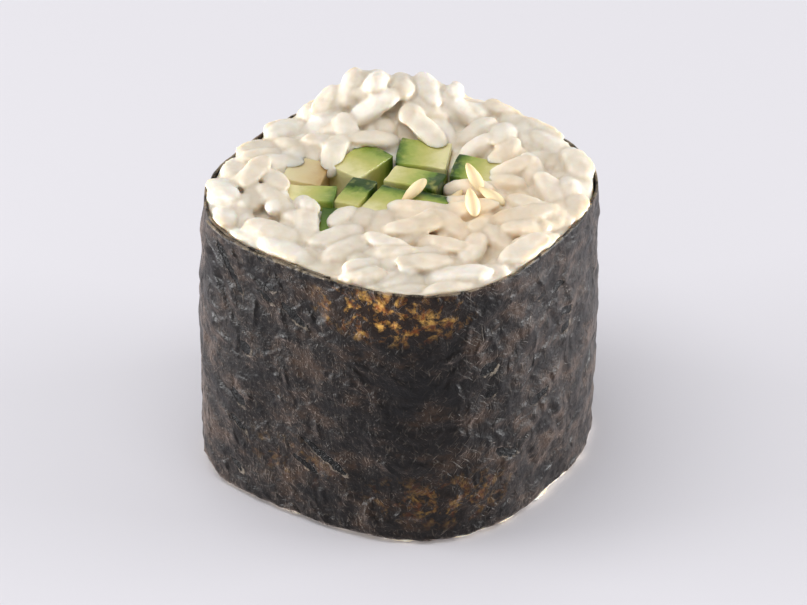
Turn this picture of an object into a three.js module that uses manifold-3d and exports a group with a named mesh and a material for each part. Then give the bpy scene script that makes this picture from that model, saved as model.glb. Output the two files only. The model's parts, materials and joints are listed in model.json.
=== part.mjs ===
// One piece of a cucumber maki roll, standing on a cut face: a nori wrap whose ends overlap, sticky rice
// with its grains in relief on both cut faces, batons of cucumber through the middle, and sesame seeds.
// Millimetres, +Z up. The origin is on the table under the middle of the piece, and -Y is its front.
import * as THREE from "three";
import { mergeVertices } from "three/addons/utils/BufferGeometryUtils.js";
import Module from "manifold-3d";

const wasm = await Module();
wasm.setup();

const DEGREE = Math.PI / 180;

// ---------- Driving dimensions ----------

// The roll: a sheet of nori is rolled up, and the roll is cut across into pieces.
const SHEET_WIDTH = 190;
const PIECES_IN_ROLL = 6;
const KNIFE_LOSS = 0.9; // rice and nori lost at each cut
const BAND_HEIGHT = SHEET_WIDTH / PIECES_IN_ROLL - KNIFE_LOSS;
const BAND_FOOT = 0.6; // the nori ends this far above the table, as the rice squeezes out under it
const BAND_TOP = BAND_FOOT + BAND_HEIGHT;

// Its outline seen from above: a circle that the rolling mat pressed towards a square.
const ROLL_RADIUS = 20.2; // mean, outside the nori
const CORNER_SWELL = 0.95; // how far each rounded corner stands out, and each side stands in
const CORNER_TURN = 10 * DEGREE;
const SIDE_SWELL = 0.3; // three gentle swells that keep the outline uneven
const SIDE_TURN = -60 * DEGREE;
const BELLY = 0.35; // the wall bulges this far at half height
const LEAN = [-0.4, 0]; // how far the foot stands off from under the top
const BOX_MIDDLE = [0.48, 0.06]; // how far the whole is moved, so that its box is centred on the origin

// The nori wrap.
const NORI_THICKNESS = 0.4;
const FREE_EDGE = 196 * DEGREE; // where the sheet's outer end lies
const OVERLAP = 50 * DEGREE; // how far the sheet lies double
const OVERLAP_FADE = 14 * DEGREE; // where the outer layer comes down over the inner end
const WALL_GAP = 0.3; // between the nori and the rice
const NORI_COLUMNS = 72;
const EDGE_STEP = 0.1; // the step at the free edge, as a share of one column
const NORI_ROWS = 3;

// Cooked short-grain rice.
const GRAIN = { length: 6.6, width: 2.9, thick: 2.3, sides: 5, rings: 3 };
const GRAIN_SINK = 0.75; // how far a sticky grain sinks into those under it
const GRAIN_TILT_LIMIT = 22 * DEGREE;
const CROWN_LIFT = 1.6; // the crown's draw of how far a grain sinks, from 0, least
const RIM_GRAINS = 24; // laid along the nori before the others are poured
const TOP_TRIES = 800; // places tried for a grain on the top
const FOOT_TRIES = 200; // and on the foot, where the cut grains lie flat on the table
const RIM_ZONE = 4; // nearer than this to the nori, grains lie along it
const RICE_LEVEL = BAND_TOP + 0.2; // the knife's plane at the top
const RELIEF = 1.5; // how deep the hollows between the grains are
const CORE_TOP = RICE_LEVEL - RELIEF;
const LEVELLED = 0.55; // the share of what stood above the knife's plane that is left
const MOUND = { at: [-1.2, 17.6], radii: [6.8, 4.4], height: 2.6 }; // where the knife pushed the rice up
const RICE_COLUMNS = 60;
const HEAP_CELL = 0.8; // grid of the heap's heights

// The largest grains of the top face, which lie there before the others: their middles, the way they
// point, and their size against the usual one.
const LARGE_GRAINS = [
  { at: [-16.2, -9.2], turn: -28, size: 1.05 },
  { at: [-1.0, -17.2], turn: 2, size: 1.12 },
  { at: [5.3, -15.8], turn: 22, size: 0.98 },
  { at: [10.2, -14.2], turn: 58, size: 1.0 },
  { at: [14.4, -10.2], turn: 30, size: 1.05 },
  { at: [10.8, -7.6], turn: 78, size: 1.12 },
  { at: [3.2, -5.6], turn: -6, size: 1.15 },
  { at: [-5.2, -6.6], turn: 50, size: 1.05 },
  { at: [-11.4, -4.6], turn: -32, size: 1.02 },
  { at: [-13.4, -2.6], turn: 80, size: 0.92 },
  { at: [-6.0, 12.6], turn: 44, size: 1.2 },
  { at: [0.6, 12.6], turn: 4, size: 1.1 },
  { at: [-2.6, 10.0], turn: -20, size: 0.9 },
  { at: [13.4, 6.4], turn: 36, size: 1.08 },
];

// The grains that lie over all others, on the mound.
const CROWN_GRAINS = [
  { at: [-4.8, 16.4], turn: 24, size: 1.15 },
  { at: [2.4, 17.0], turn: -32, size: 1.2 },
  { at: [-1.4, 17.9], turn: 6, size: 1.1 },
];

// The filling, a bundle of cucumber batons that twists a little on its way through the roll.
const CUCUMBER_RADIUS = 17;
const BATON_GAP = 0.34; // kept clear round each baton
const BUNDLE_MIDDLE = [-1.2, 1.4];
const BUNDLE_TWIST = 8 * DEGREE; // from the top to the foot
const BUNDLE_DRIFT = [0.5, -0.7];
const BUNDLE_CLEAR = { at: [-1.3, 2.3], radii: [8.2, 4.2] }; // no grain got between the batons here
const BATON_STEPS = 4;
const BATON_TOP = BAND_TOP - 0.2;

// Each baton: its middle, its length from the seeds to the peel, its width, the way its peel faces,
// how far its top end stands from the others, and how far its foot is off the table.
const BATONS = [
  { name: "cucumber_baton_1", at: [-4.5, 5.8], deep: 5.5, wide: 3.9, peel: 48, top: 0.3, foot: 0.3 },
  { name: "cucumber_baton_2", at: [2.1, 7.2], deep: 5.3, wide: 4.7, peel: 172, top: 0.4, foot: 0 },
  { name: "cucumber_baton_3", at: [7.7, 4.3], deep: 4.6, wide: 4.0, peel: 166, top: 0, foot: 0.4 },
  { name: "cucumber_baton_4", at: [-9.9, -0.6], deep: 5.1, wide: 3.1, peel: -8, top: 0.1, foot: 0.2 },
  { name: "cucumber_baton_5", at: [-5.1, -0.4], deep: 4.8, wide: 2.5, peel: 66, top: 0.4, foot: 0.5 },
  { name: "cucumber_baton_6", at: [1.3, 2.35], deep: 5.7, wide: 3.2, peel: -22, top: 0.5, foot: 0 },
  { name: "cucumber_baton_7", at: [-1.9, -1.9], deep: 4.6, wide: 3.1, peel: 62, top: 0, foot: 0.3 },
  { name: "cucumber_baton_8", at: [2.7, -2.2], deep: 3.2, wide: 3.6, peel: 60, top: -0.3, foot: 0.6 },
  { name: "cucumber_core_baton", at: [-10.4, 4.2], deep: 4.0, wide: 4.2, peel: 165, top: 0.1, foot: 0.4 },
  { name: "cucumber_peel_shred", at: [-8.1, -5.4], deep: 4.6, wide: 1.3, peel: 84, top: -0.2, foot: 0.4 },
];

// Sesame seeds: where each lies on the top face, the way its tip points, and how far the tip dips.
const SEED = { length: 3.5, width: 1.9, thick: 1.1, sides: 6, rings: 4 };
const SEED_LIFT = 0.15; // a seed's middle over what it is stuck to
const SEEDS_ON_BATON = { cucumber_baton_6: [{ at: [1.5, 1.9], turn: 232, dip: 6 }] };
const SEEDS_ON_RICE = [
  { at: [5.6, -1.6], turn: 48, dip: -22 },
  { at: [7.7, 0.6], turn: 118, dip: -26 },
  { at: [7.7, -3.2], turn: 100, dip: -14 },
  { at: [9.7, -1.4], turn: 300, dip: 10 },
  { at: [10.6, 1.0], turn: 20, dip: -8 },
  { at: [9.9, -3.9], turn: 160, dip: 8 },
];

// ---------- Outline ----------

// The piece's outer radius at an angle and a height, outside one layer of nori.
function wallRadius(angle, z) {
  const corners = CORNER_SWELL * Math.cos(4 * (angle - CORNER_TURN));
  const swells = SIDE_SWELL * Math.cos(3 * (angle - SIDE_TURN));
  const rise = THREE.MathUtils.clamp((z - BAND_FOOT) / BAND_HEIGHT, 0, 1);
  return ROLL_RADIUS + corners + swells + BELLY * Math.sin(Math.PI * rise);
}

// The middle of the outline at a height.
function wallMiddle(z) {
  const fall = 1 - z / BAND_TOP;
  return [LEAN[0] * fall, LEAN[1] * fall];
}

// How many layers of nori lie at an angle: two from the free edge on, then one.
function noriLayers(angle) {
  const past = THREE.MathUtils.euclideanModulo(angle - FREE_EDGE, 2 * Math.PI);
  return 2 - THREE.MathUtils.smoothstep(past, OVERLAP, OVERLAP + OVERLAP_FADE);
}

// ---------- Solids and geometries ----------

function solidOf(geometry) {
  const bare = new THREE.BufferGeometry();
  bare.setAttribute("position", geometry.getAttribute("position"));
  if (geometry.index) bare.setIndex(geometry.index);
  const merged = mergeVertices(bare, 1e-4);
  return new wasm.Manifold(
    new wasm.Mesh({
      numProp: 3,
      vertProperties: merged.attributes.position.array,
      triVerts: new Uint32Array(merged.index.array),
    }),
  );
}

function geometryOf(solid) {
  const mesh = solid.getMesh();
  const geometry = new THREE.BufferGeometry();
  geometry.setAttribute("position", new THREE.BufferAttribute(new Float32Array(mesh.vertProperties), 3));
  geometry.setIndex(new THREE.BufferAttribute(new Uint32Array(mesh.triVerts), 1));
  geometry.computeVertexNormals();
  return geometry;
}

// Joins many solids, two by two, so that no join is much larger than it has to be.
function joined(solids) {
  let row = solids;
  while (row.length > 1) {
    const next = [];
    for (let i = 0; i < row.length; i += 2) next.push(i + 1 < row.length ? row[i].add(row[i + 1]) : row[i]);
    row = next;
  }
  return row[0];
}

// The largest of a solid's bodies: loose scraps that a cut leaves are dropped.
function largestBody(solid) {
  return solid.decompose().reduce((a, b) => (a.volume() > b.volume() ? a : b));
}

// Moves each vertex of a geometry to where place(x, y, z) says.
function reshaped(geometry, place) {
  const at = geometry.getAttribute("position");
  for (let i = 0; i < at.count; i += 1) at.setXYZ(i, ...place(at.getX(i), at.getY(i), at.getZ(i)));
  return geometry;
}

// A lathe about Z. Each profile point is [ring, z], and place turns a ring number, an angle and a height
// into a point. The last column of the lathe lies on the first.
function lathed(profile, columns, angleOf, place) {
  const points = profile.map(([ring, z]) => new THREE.Vector2(ring, z));
  const geometry = new THREE.LatheGeometry(points, columns);
  const at = geometry.getAttribute("position");
  for (let i = 0; i < at.count; i += 1) {
    const ring = Math.hypot(at.getX(i), at.getZ(i));
    const column = Math.floor(i / points.length) % columns;
    at.setXYZ(i, ...place(ring, angleOf(column), at.getY(i)));
  }
  return geometry;
}

// ---------- Nori ----------

function noriGeometry() {
  const outside = [];
  const inside = [];
  for (let row = 0; row <= NORI_ROWS; row += 1) {
    const z = BAND_FOOT + (BAND_HEIGHT * row) / NORI_ROWS;
    outside.push([2, z]);
    inside.unshift([1, z]);
  }
  const profile = [...outside, ...inside, outside[0]];
  const step = (2 * Math.PI) / (NORI_COLUMNS - 1 + EDGE_STEP);
  return lathed(
    profile,
    NORI_COLUMNS,
    (column) => FREE_EDGE + column * step,
    (ring, angle, z) => {
      const layers = ring > 1.5 ? noriLayers(angle) : 0;
      const radius = wallRadius(angle, z) + (layers - 1) * NORI_THICKNESS;
      const [x, y] = wallMiddle(z);
      return [x + radius * Math.cos(angle), y + radius * Math.sin(angle), z];
    },
  );
}

// ---------- Filling ----------

// Carries a point of the bundle from the top down to a height.
function bundlePoint(x, y, z) {
  const fall = 1 - z / BAND_TOP;
  const turn = BUNDLE_TWIST * fall;
  const [mx, my] = BUNDLE_MIDDLE;
  const dx = x - mx;
  const dy = y - my;
  return [
    mx + dx * Math.cos(turn) - dy * Math.sin(turn) + BUNDLE_DRIFT[0] * fall,
    my + dx * Math.sin(turn) + dy * Math.cos(turn) + BUNDLE_DRIFT[1] * fall,
    z,
  ];
}

// A baton's section: straight on three sides, and round where the peel is. Grown by a margin all round.
function batonSection({ deep, wide }, margin) {
  const half = wide / 2 + margin;
  const radius = CUCUMBER_RADIUS + margin;
  const spread = Math.asin(half / radius);
  const section = new THREE.Shape();
  section.moveTo(-deep / 2 - margin, half);
  section.lineTo(-deep / 2 - margin, -half);
  section.absarc(deep / 2 - CUCUMBER_RADIUS, 0, radius, -spread, spread, false);
  section.closePath();
  return section;
}

// A baton from z0 to z1, or with a margin the room that it takes.
function batonGeometry(baton, margin, z0, z1) {
  const options = { depth: z1 - z0, steps: BATON_STEPS, bevelEnabled: false, curveSegments: 3 };
  const geometry = new THREE.ExtrudeGeometry(batonSection(baton, margin), options);
  const turn = baton.peel * DEGREE;
  return reshaped(geometry, (x, y, z) =>
    bundlePoint(
      baton.at[0] + x * Math.cos(turn) - y * Math.sin(turn),
      baton.at[1] + x * Math.sin(turn) + y * Math.cos(turn),
      z0 + z,
    ),
  );
}

function batonEnds(baton) {
  return [baton.foot, BATON_TOP + baton.top];
}

// How far a point of the top face is outside the nearest baton, or below 0 where it is on one.
function clearOfBatons(x, y) {
  return Math.min(
    ...BATONS.map(({ at, deep, wide, peel }) => {
      const turn = peel * DEGREE;
      const dx = x - at[0];
      const dy = y - at[1];
      const across = Math.abs(dx * Math.cos(turn) + dy * Math.sin(turn)) - deep / 2;
      const along = Math.abs(-dx * Math.sin(turn) + dy * Math.cos(turn)) - wide / 2;
      return Math.max(across, along);
    }),
  );
}

// ---------- Grains and seeds ----------

// A repeatable draw from 0 to 1.
function drawer(seed) {
  let state = seed;
  return () => {
    state = (state * 16807) % 2147483647;
    return state / 2147483647;
  };
}

// How far a point is from the middle of an ellipse, squared: 1 is on it.
function farFrom({ at, radii }, x, y) {
  return ((x - at[0]) / radii[0]) ** 2 + ((y - at[1]) / radii[1]) ** 2;
}

// How high the cut face is at a point.
function levelAt(x, y, mound) {
  return RICE_LEVEL + mound * Math.exp(-farFrom(MOUND, x, y));
}

// Places for grains: first the large ones, then some all round the rim, then the rest by a
// low-discrepancy sequence, so that they are spread evenly, and the crown last.
function grainPlaces(seed, tries, large, crown) {
  const draw = drawer(seed);
  const halfWidth = GRAIN.width / 2;
  const given = ({ at, turn, size }) => ({ x: at[0], y: at[1], turn: turn * DEGREE, size, lift: 0.2 });
  const places = large.map(given);
  for (let i = -RIM_GRAINS; i < tries; i += 1) {
    const onRim = i < 0;
    const angle = 2 * Math.PI * (onRim ? -i / RIM_GRAINS : (i * 0.5698403) % 1);
    const rim = wallRadius(angle, BAND_TOP) - NORI_THICKNESS - halfWidth;
    const reach = onRim ? rim : rim * Math.sqrt((i * 0.7548777 + 0.5) % 1);
    const free = THREE.MathUtils.smoothstep(rim - reach, 0, RIM_ZONE);
    places.push({
      x: reach * Math.cos(angle),
      y: reach * Math.sin(angle),
      turn: angle + Math.PI / 2 + (draw() - 0.5) * Math.PI * (0.3 + 0.7 * free),
      size: 0.86 + 0.28 * draw(),
      lift: draw(),
    });
  }
  return [...places, ...crown.map((grain) => ({ ...given(grain), lift: CROWN_LIFT, crowning: true }))];
}

// Drops grains one by one on a heap until it is level with the cut face. Each lies as steep as what is
// under it.
function pouredGrains(places, mound) {
  const half = Math.ceil((ROLL_RADIUS + 3) / HEAP_CELL);
  const side = 2 * half + 1;
  const heap = new Float64Array(side * side).fill(CORE_TOP);
  const cell = (x, y) => (Math.round(y / HEAP_CELL) + half) * side + Math.round(x / HEAP_CELL) + half;
  const [a, b, c] = [GRAIN.length / 2, GRAIN.width / 2, GRAIN.thick / 2];
  const grains = [];
  for (const { x, y, turn, size, lift, crowning } of places) {
    if (clearOfBatons(x, y) < b * 0.55 || farFrom(BUNDLE_CLEAR, x, y) < 1) continue;
    const [cos, sin] = [Math.cos(turn), Math.sin(turn)];
    const under = (s) => heap[cell(x + s * a * cos, y + s * a * sin)];
    const [tail, middle, head] = [under(-0.7), under(0), under(0.7)];
    const level = levelAt(x, y, mound);
    if (!crowning && (middle > level - 0.4 || (tail + middle + head) / 3 > level - 0.2)) continue;
    const slope = Math.atan2(head - tail, 1.4 * a);
    const tilt = THREE.MathUtils.clamp(slope, -GRAIN_TILT_LIMIT, GRAIN_TILT_LIMIT);
    const z = Math.max((tail + head) / 2, middle) + c - GRAIN_SINK * (0.7 + 0.6 * lift);
    grains.push({ x, y, z, turn, tilt, size, level });
    for (let u = -a; u <= a; u += HEAP_CELL / 2)
      for (let v = -b; v <= b; v += HEAP_CELL / 2) {
        const round = 1 - (u / a) ** 2 - (v / b) ** 2;
        if (round <= 0) continue;
        const k = cell(x + u * cos - v * sin, y + u * sin + v * cos);
        heap[k] = Math.max(heap[k], z + u * Math.tan(tilt) + c * Math.sqrt(round));
      }
  }
  return { grains, heightAt: (x, y) => Math.min(heap[cell(x, y)], RICE_LEVEL + 0.6) };
}

// A low body of revolution along X, with its poles at its ends, narrowed towards +X by taper.
function pipGeometry({ length, width, thick, sides, rings }, taper) {
  const geometry = new THREE.SphereGeometry(1, sides, rings).rotateZ(-Math.PI / 2);
  return reshaped(geometry, (x, y, z) => {
    const waist = 1 - taper * (x + 1) * 0.5;
    return [(x * length) / 2, (y * waist * width) / 2, (z * waist * thick) / 2];
  });
}

function grainSolid(grain) {
  const geometry = pipGeometry(GRAIN, 0.12);
  const pose = new THREE.Matrix4()
    .makeTranslation(grain.x, grain.y, grain.z)
    .multiply(new THREE.Matrix4().makeRotationZ(grain.turn))
    .multiply(new THREE.Matrix4().makeRotationY(-grain.tilt))
    .scale(new THREE.Vector3(grain.size, grain.size, 1));
  geometry.applyMatrix4(pose);
  const level = grain.level;
  return solidOf(reshaped(geometry, (x, y, z) => [x, y, z > level ? level + (z - level) * LEVELLED : z]));
}

function seedSolid({ at, turn, dip }, surface) {
  const pose = new THREE.Matrix4()
    .makeTranslation(at[0], at[1], surface + SEED_LIFT)
    .multiply(new THREE.Matrix4().makeRotationZ(turn * DEGREE))
    .multiply(new THREE.Matrix4().makeRotationY(dip * DEGREE));
  return solidOf(pipGeometry(SEED, 0.5).applyMatrix4(pose));
}

// ---------- Rice ----------

// The space inside the nori from z0 to z1, as one solid.
function wallFilling(z0, z1, gap) {
  const profile = [[0, z0], [1, z0], [1, (z0 + z1) / 2], [1, z1], [0, z1]];
  const geometry = lathed(
    profile,
    RICE_COLUMNS,
    (column) => (column * 2 * Math.PI) / RICE_COLUMNS,
    (ring, angle, z) => {
      const radius = ring * (wallRadius(angle, z) - NORI_THICKNESS - gap);
      const [x, y] = wallMiddle(z);
      return [x + radius * Math.cos(angle), y + radius * Math.sin(angle), z];
    },
  );
  return solidOf(geometry);
}

function riceSolid() {
  const room = wallFilling(0, BAND_TOP + 4, WALL_GAP);
  const topHeap = pouredGrains(grainPlaces(7, TOP_TRIES, LARGE_GRAINS, CROWN_GRAINS), MOUND.height);
  const footHeap = pouredGrains(grainPlaces(23, FOOT_TRIES, [], []), 0);
  const top = joined(topHeap.grains.map(grainSolid));
  const foot = joined(footHeap.grains.map(grainSolid))
    .mirror([0, 0, 1])
    .translate([0, 0, RICE_LEVEL]);
  const core = wallFilling(RELIEF, CORE_TOP, WALL_GAP);
  const seeds = joined(SEEDS_ON_RICE.map((seed) => seedSolid(seed, topHeap.heightAt(...seed.at))));
  const batonRoom = joined(
    BATONS.map((baton) => {
      const [z0, z1] = batonEnds(baton);
      return solidOf(batonGeometry(baton, BATON_GAP, z0 - 2, z1 + BATON_GAP));
    }),
  );
  return largestBody(joined([core, top.add(foot).intersect(room), seeds]).subtract(batonRoom));
}

// ---------- Materials ----------

const RICE = new THREE.MeshStandardMaterial({ color: 0xece4d2, roughness: 0.42 });
const NORI = new THREE.MeshStandardMaterial({ color: 0x2a2522, roughness: 0.45 });
const CUCUMBER = new THREE.MeshStandardMaterial({ color: 0xbcc070, roughness: 0.3 });
const CUCUMBER_CORE = new THREE.MeshStandardMaterial({ color: 0xd3bd90, roughness: 0.35 });
const CUCUMBER_PEEL = new THREE.MeshStandardMaterial({ color: 0x5f7f22, roughness: 0.35 });

// ---------- The piece ----------

const piece = new THREE.Group();
piece.position.set(...BOX_MIDDLE, 0);

function addNode(name, geometry, material) {
  const mesh = new THREE.Mesh(geometry, material);
  mesh.name = name;
  piece.add(mesh);
  return mesh;
}

addNode("nori_wrap", geometryOf(solidOf(noriGeometry())), NORI);
addNode("rice", geometryOf(riceSolid()), RICE);
for (const baton of BATONS) {
  const material = { cucumber_core_baton: CUCUMBER_CORE, cucumber_peel_shred: CUCUMBER_PEEL }[baton.name];
  const end = BATON_TOP + baton.top;
  const seeds = (SEEDS_ON_BATON[baton.name] ?? []).map((seed) => seedSolid(seed, end));
  const solid = joined([solidOf(batonGeometry(baton, 0, ...batonEnds(baton))), ...seeds]);
  addNode(baton.name, geometryOf(solid), material ?? CUCUMBER);
}

export default piece;
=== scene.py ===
"""One cut piece of a cucumber maki roll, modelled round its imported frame, on a plain pale stage.

It is laid out as an add-on: each operator makes one kind of piece, and main() calls them in order.
Pieces are made at one unit to the millimetre and brought to metres when they are finished.
"""

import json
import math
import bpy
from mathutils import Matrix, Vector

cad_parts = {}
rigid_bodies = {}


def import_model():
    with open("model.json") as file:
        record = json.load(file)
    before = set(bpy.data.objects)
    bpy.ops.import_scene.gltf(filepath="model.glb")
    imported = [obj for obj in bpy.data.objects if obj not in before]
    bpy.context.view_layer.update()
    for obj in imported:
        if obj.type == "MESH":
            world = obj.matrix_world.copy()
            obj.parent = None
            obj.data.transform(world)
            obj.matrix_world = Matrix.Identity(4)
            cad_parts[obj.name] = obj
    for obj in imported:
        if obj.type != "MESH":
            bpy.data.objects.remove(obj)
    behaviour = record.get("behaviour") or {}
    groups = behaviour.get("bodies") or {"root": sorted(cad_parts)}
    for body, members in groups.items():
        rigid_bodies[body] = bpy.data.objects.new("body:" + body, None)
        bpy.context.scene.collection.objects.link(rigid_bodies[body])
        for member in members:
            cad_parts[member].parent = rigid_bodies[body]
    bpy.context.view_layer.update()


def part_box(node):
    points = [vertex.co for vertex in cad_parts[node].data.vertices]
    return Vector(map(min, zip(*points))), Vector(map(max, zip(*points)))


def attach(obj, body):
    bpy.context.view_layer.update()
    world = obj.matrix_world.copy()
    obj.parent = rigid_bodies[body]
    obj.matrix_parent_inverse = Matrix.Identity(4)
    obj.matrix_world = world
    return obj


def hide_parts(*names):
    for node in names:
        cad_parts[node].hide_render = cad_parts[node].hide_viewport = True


bl_info = {
    "name": "Cucumber maki roll",
    "version": (1, 0, 0),
    "blender": (4, 5, 0),
    "location": "3D View > Sidebar > Maki roll",
    "description": "Models a cut piece of a cucumber maki roll and a plain stage for it",
    "category": "Add Mesh",
}

import bmesh
import bpy
import numpy as np
from mathutils import Matrix, Vector, noise

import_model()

# ---------- Driving dimensions, in millimetres ----------

MM = 0.001

# The band of nori comes from the frame. The outline and most other values repeat the solid's own.
# The crown of grains, the batons' top ends and growth, and the seeds have values of their own here.
nori_low, nori_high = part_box("nori_wrap")
BAND_FOOT = nori_low.z / MM
BAND_TOP = nori_high.z / MM
BAND_HEIGHT = BAND_TOP - BAND_FOOT

# The outline: a circle that the rolling mat pressed towards a square.
ROLL_RADIUS = 20.2
CORNER_SWELL = 0.95
CORNER_TURN = math.radians(10)
SIDE_SWELL = 0.3
SIDE_TURN = math.radians(-60)
BELLY = 0.35
LEAN = (-0.4, 0.0)
BOX_MIDDLE = (0.48, 0.06)

# The nori wrap.
NORI_THICKNESS = 0.4
FREE_EDGE = math.radians(196)
OVERLAP = math.radians(50)
OVERLAP_FADE = math.radians(14)
WALL_GAP = 0.3

# Rice.
GRAIN_LENGTH = 6.6
GRAIN_WIDTH = 2.9
GRAIN_THICK = 2.3
GRAIN_SINK = 0.75
GRAIN_TILT_LIMIT = math.radians(22)
CROWN_LIFT = 2.2
RIM_GRAINS = 24
TOP_TRIES = 800
FOOT_TRIES = 200
RIM_ZONE = 4.0
RICE_LEVEL = BAND_TOP + 0.2
RELIEF = 1.5
CORE_TOP = RICE_LEVEL - RELIEF
MOUND_AT = (-1.2, 17.6)
MOUND_RADII = (6.8, 4.4)
MOUND_HEIGHT = 2.6
HEAP_CELL = 0.8
# The seeds of the draws. The first two are the solid's own.
TOP_SEED = 7
FOOT_SEED = 23
LOW_SEED = 41
TONE_SEED = 101
# The grains that show in the hollows of the others: how many places are tried, how far under the
# solid's core they start, and how far under the knife's plane they stay.
LOW_TRIES = 600
LOW_START = 1.2
LOW_DEPTH = 0.6
# Where rice hangs over the nori: an angle and a width in degrees, and how much more than elsewhere.
TOP_SPILLS = ((180, 26, 1.0), (138, 22, 1.2), (-28, 18, 0.9), (100, 26, 0.8), (10, 20, 0.6))
FOOT_SPILLS = ((-60, 28, 0.5), (-97, 12, 0.35), (-140, 12, 0.3))
# How far the mashed rice lies under the knife's plane: on the top, on the foot, and at the nori.
BED_DEPTH = 1.0
FOOT_BED_DEPTH = 0.35
RIM_BED_DEPTH = 0.3
# Between the crusts of rice and the nori, and between them and the batons.
SNUG = 0.05

# The largest grains of the top face: x, y, the way they point in degrees, and their size.
LARGE_GRAINS = (
    (-16.2, -9.2, -28, 1.05),
    (-1.0, -17.2, 2, 1.12),
    (5.3, -15.8, 22, 0.98),
    (10.2, -14.2, 58, 1.0),
    (14.4, -10.2, 30, 1.05),
    (10.8, -7.6, 78, 1.12),
    (3.2, -5.6, -6, 1.15),
    (-5.2, -6.6, 50, 1.05),
    (-11.4, -4.6, -32, 1.02),
    (-13.4, -2.6, 80, 0.92),
    (-6.0, 12.6, 44, 1.2),
    (0.6, 12.6, 4, 1.1),
    (-2.6, 10.0, -20, 0.9),
    (13.4, 6.4, 36, 1.08),
)

# The grains that lie over all others, on the mound and at the back of the rim.
CROWN_GRAINS = (
    (2.0, 15.0, -30, 1.0),
    (-8.3, 15.2, 60, 0.9),
    (-5.7, 16.9, 74, 0.95),
    (-2.9, 17.6, 84, 1.0),
    (-0.1, 17.7, 94, 1.05),
    (2.7, 17.2, 106, 0.95),
    (5.5, 17.2, 84, 0.7),
    (11.2, 15.3, -10, 0.85),
    (15.2, 12.2, -42, 0.9),
)

# The filling.
CUCUMBER_RADIUS = 17.0
BUNDLE_MIDDLE = (-1.2, 1.4)
BUNDLE_TWIST = math.radians(8)
BUNDLE_DRIFT = (0.5, -0.7)
BUNDLE_CLEAR_AT = (-1.3, 2.3)
BUNDLE_CLEAR_RADII = (8.2, 4.2)
BATON_TOP = BAND_TOP - 0.2
# The cut pieces press against each other, so each is this much larger all round than its solid.
BATON_GROWTH = 0.17

# Each baton: its node, middle, depth from seeds to peel, width, the way its peel faces in degrees, how
# far its top end stands from the others, and how far its foot is off the table.
BATONS = (
    ("cucumber_baton_1", -4.5, 5.8, 5.5, 3.9, 48, 0.4, 0.3),
    ("cucumber_baton_2", 2.1, 7.2, 5.3, 4.7, 172, 0.45, 0.0),
    ("cucumber_baton_3", 7.7, 4.3, 4.6, 4.0, 166, 0.3, 0.4),
    ("cucumber_baton_4", -9.9, -0.6, 5.1, 3.1, -8, 0.2, 0.2),
    ("cucumber_baton_5", -5.1, -0.4, 4.8, 2.5, 66, 0.35, 0.5),
    ("cucumber_baton_6", 1.3, 2.35, 5.7, 3.2, -22, 0.4, 0.0),
    ("cucumber_baton_7", -1.9, -1.9, 4.6, 3.1, 62, 0.25, 0.3),
    ("cucumber_baton_8", 2.7, -2.2, 3.2, 3.6, 60, 0.1, 0.6),
    ("cucumber_core_baton", -10.4, 4.2, 4.0, 4.2, 165, 0.1, 0.4),
    ("cucumber_peel_shred", -8.1, -5.4, 4.6, 1.3, 84, -0.2, 0.4),
)

# How much greener than the others a baton is, because it was cut nearer to the peel.
GREENER = {
    "cucumber_baton_1": -0.05,
    "cucumber_baton_2": -0.04,
    "cucumber_baton_3": 0.06,
    "cucumber_baton_4": -0.1,
    "cucumber_baton_5": 0.3,
    "cucumber_baton_6": 0.12,
    "cucumber_baton_8": 0.1,
}

# The solid's single seed is fused to this baton. Here it rests on the two in front, its tail over this.
SEEDED_BATON = "cucumber_baton_6"
# Sesame seeds: x, y, the way the tip points, and how far the tip dips, in degrees.
SEED_ON_BATON = (1.1, -1.1, 222, 24)
SEEDS_ON_RICE = (
    (5.1, -1.2, 44, -32),
    (7.6, 0.4, 122, -32),
    (7.3, -5.2, 100, -20),
    (9.4, -2.4, 134, -6),
)
# The middle of a seed is this far above what it lies on, and the heap rises no further than this.
SEED_RISE = 0.4
HEAP_RISE = 1.1

# Farther than any distance that a pattern reads.
FAR_OFF = 9.0


# ---------- Colours and nodes ----------


def linear(code):
    """Turns an sRGB hex colour into the linear colour that Blender works with."""
    parts = [int(code[i : i + 2], 16) / 255 for i in (0, 2, 4)]
    return [c / 12.92 if c <= 0.04045 else ((c + 0.055) / 1.055) ** 2.4 for c in parts] + [1.0]


def add_node(tree, kind, inputs=(), stops=(), **settings):
    """Adds a node with its settings, its input values or links, and a colour ramp's stops."""
    node = tree.nodes.new(kind)
    for name, value in settings.items():
        setattr(node, name, value)
    for name, value in dict(inputs).items():
        if isinstance(value, bpy.types.NodeSocket):
            tree.links.new(value, node.inputs[name])
        else:
            node.inputs[name].default_value = value
    for i, (position, colour) in enumerate(stops):
        ramp = node.color_ramp.elements
        stop = ramp[i] if i < 2 else ramp.new(position)
        stop.position = position
        stop.color = colour
    return node


# The sockets of a Mix node that mixes colours.
MIX_A = 6
MIX_B = 7
MIX_RESULT = 2


def start_material(name):
    """A new material with its node tree, and the object coordinates that its patterns read."""
    material = bpy.data.materials.new(name)
    material.use_nodes = True
    tree = material.node_tree
    tree.nodes.clear()
    coords = add_node(tree, "ShaderNodeTexCoord").outputs["Object"]
    return material, tree, coords


def end_material(material, tree, inputs):
    """Adds the surface shader with its inputs, and ends the tree."""
    shader = add_node(tree, "ShaderNodeBsdfPrincipled", inputs)
    add_node(tree, "ShaderNodeOutputMaterial", {"Surface": shader.outputs["BSDF"]})
    return material


# ---------- Outline ----------


def smoothstep(value, low, high):
    """Rises smoothly from 0 at low to 1 at high."""
    t = min(max((value - low) / (high - low), 0.0), 1.0)
    return t * t * (3 - 2 * t)


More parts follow.
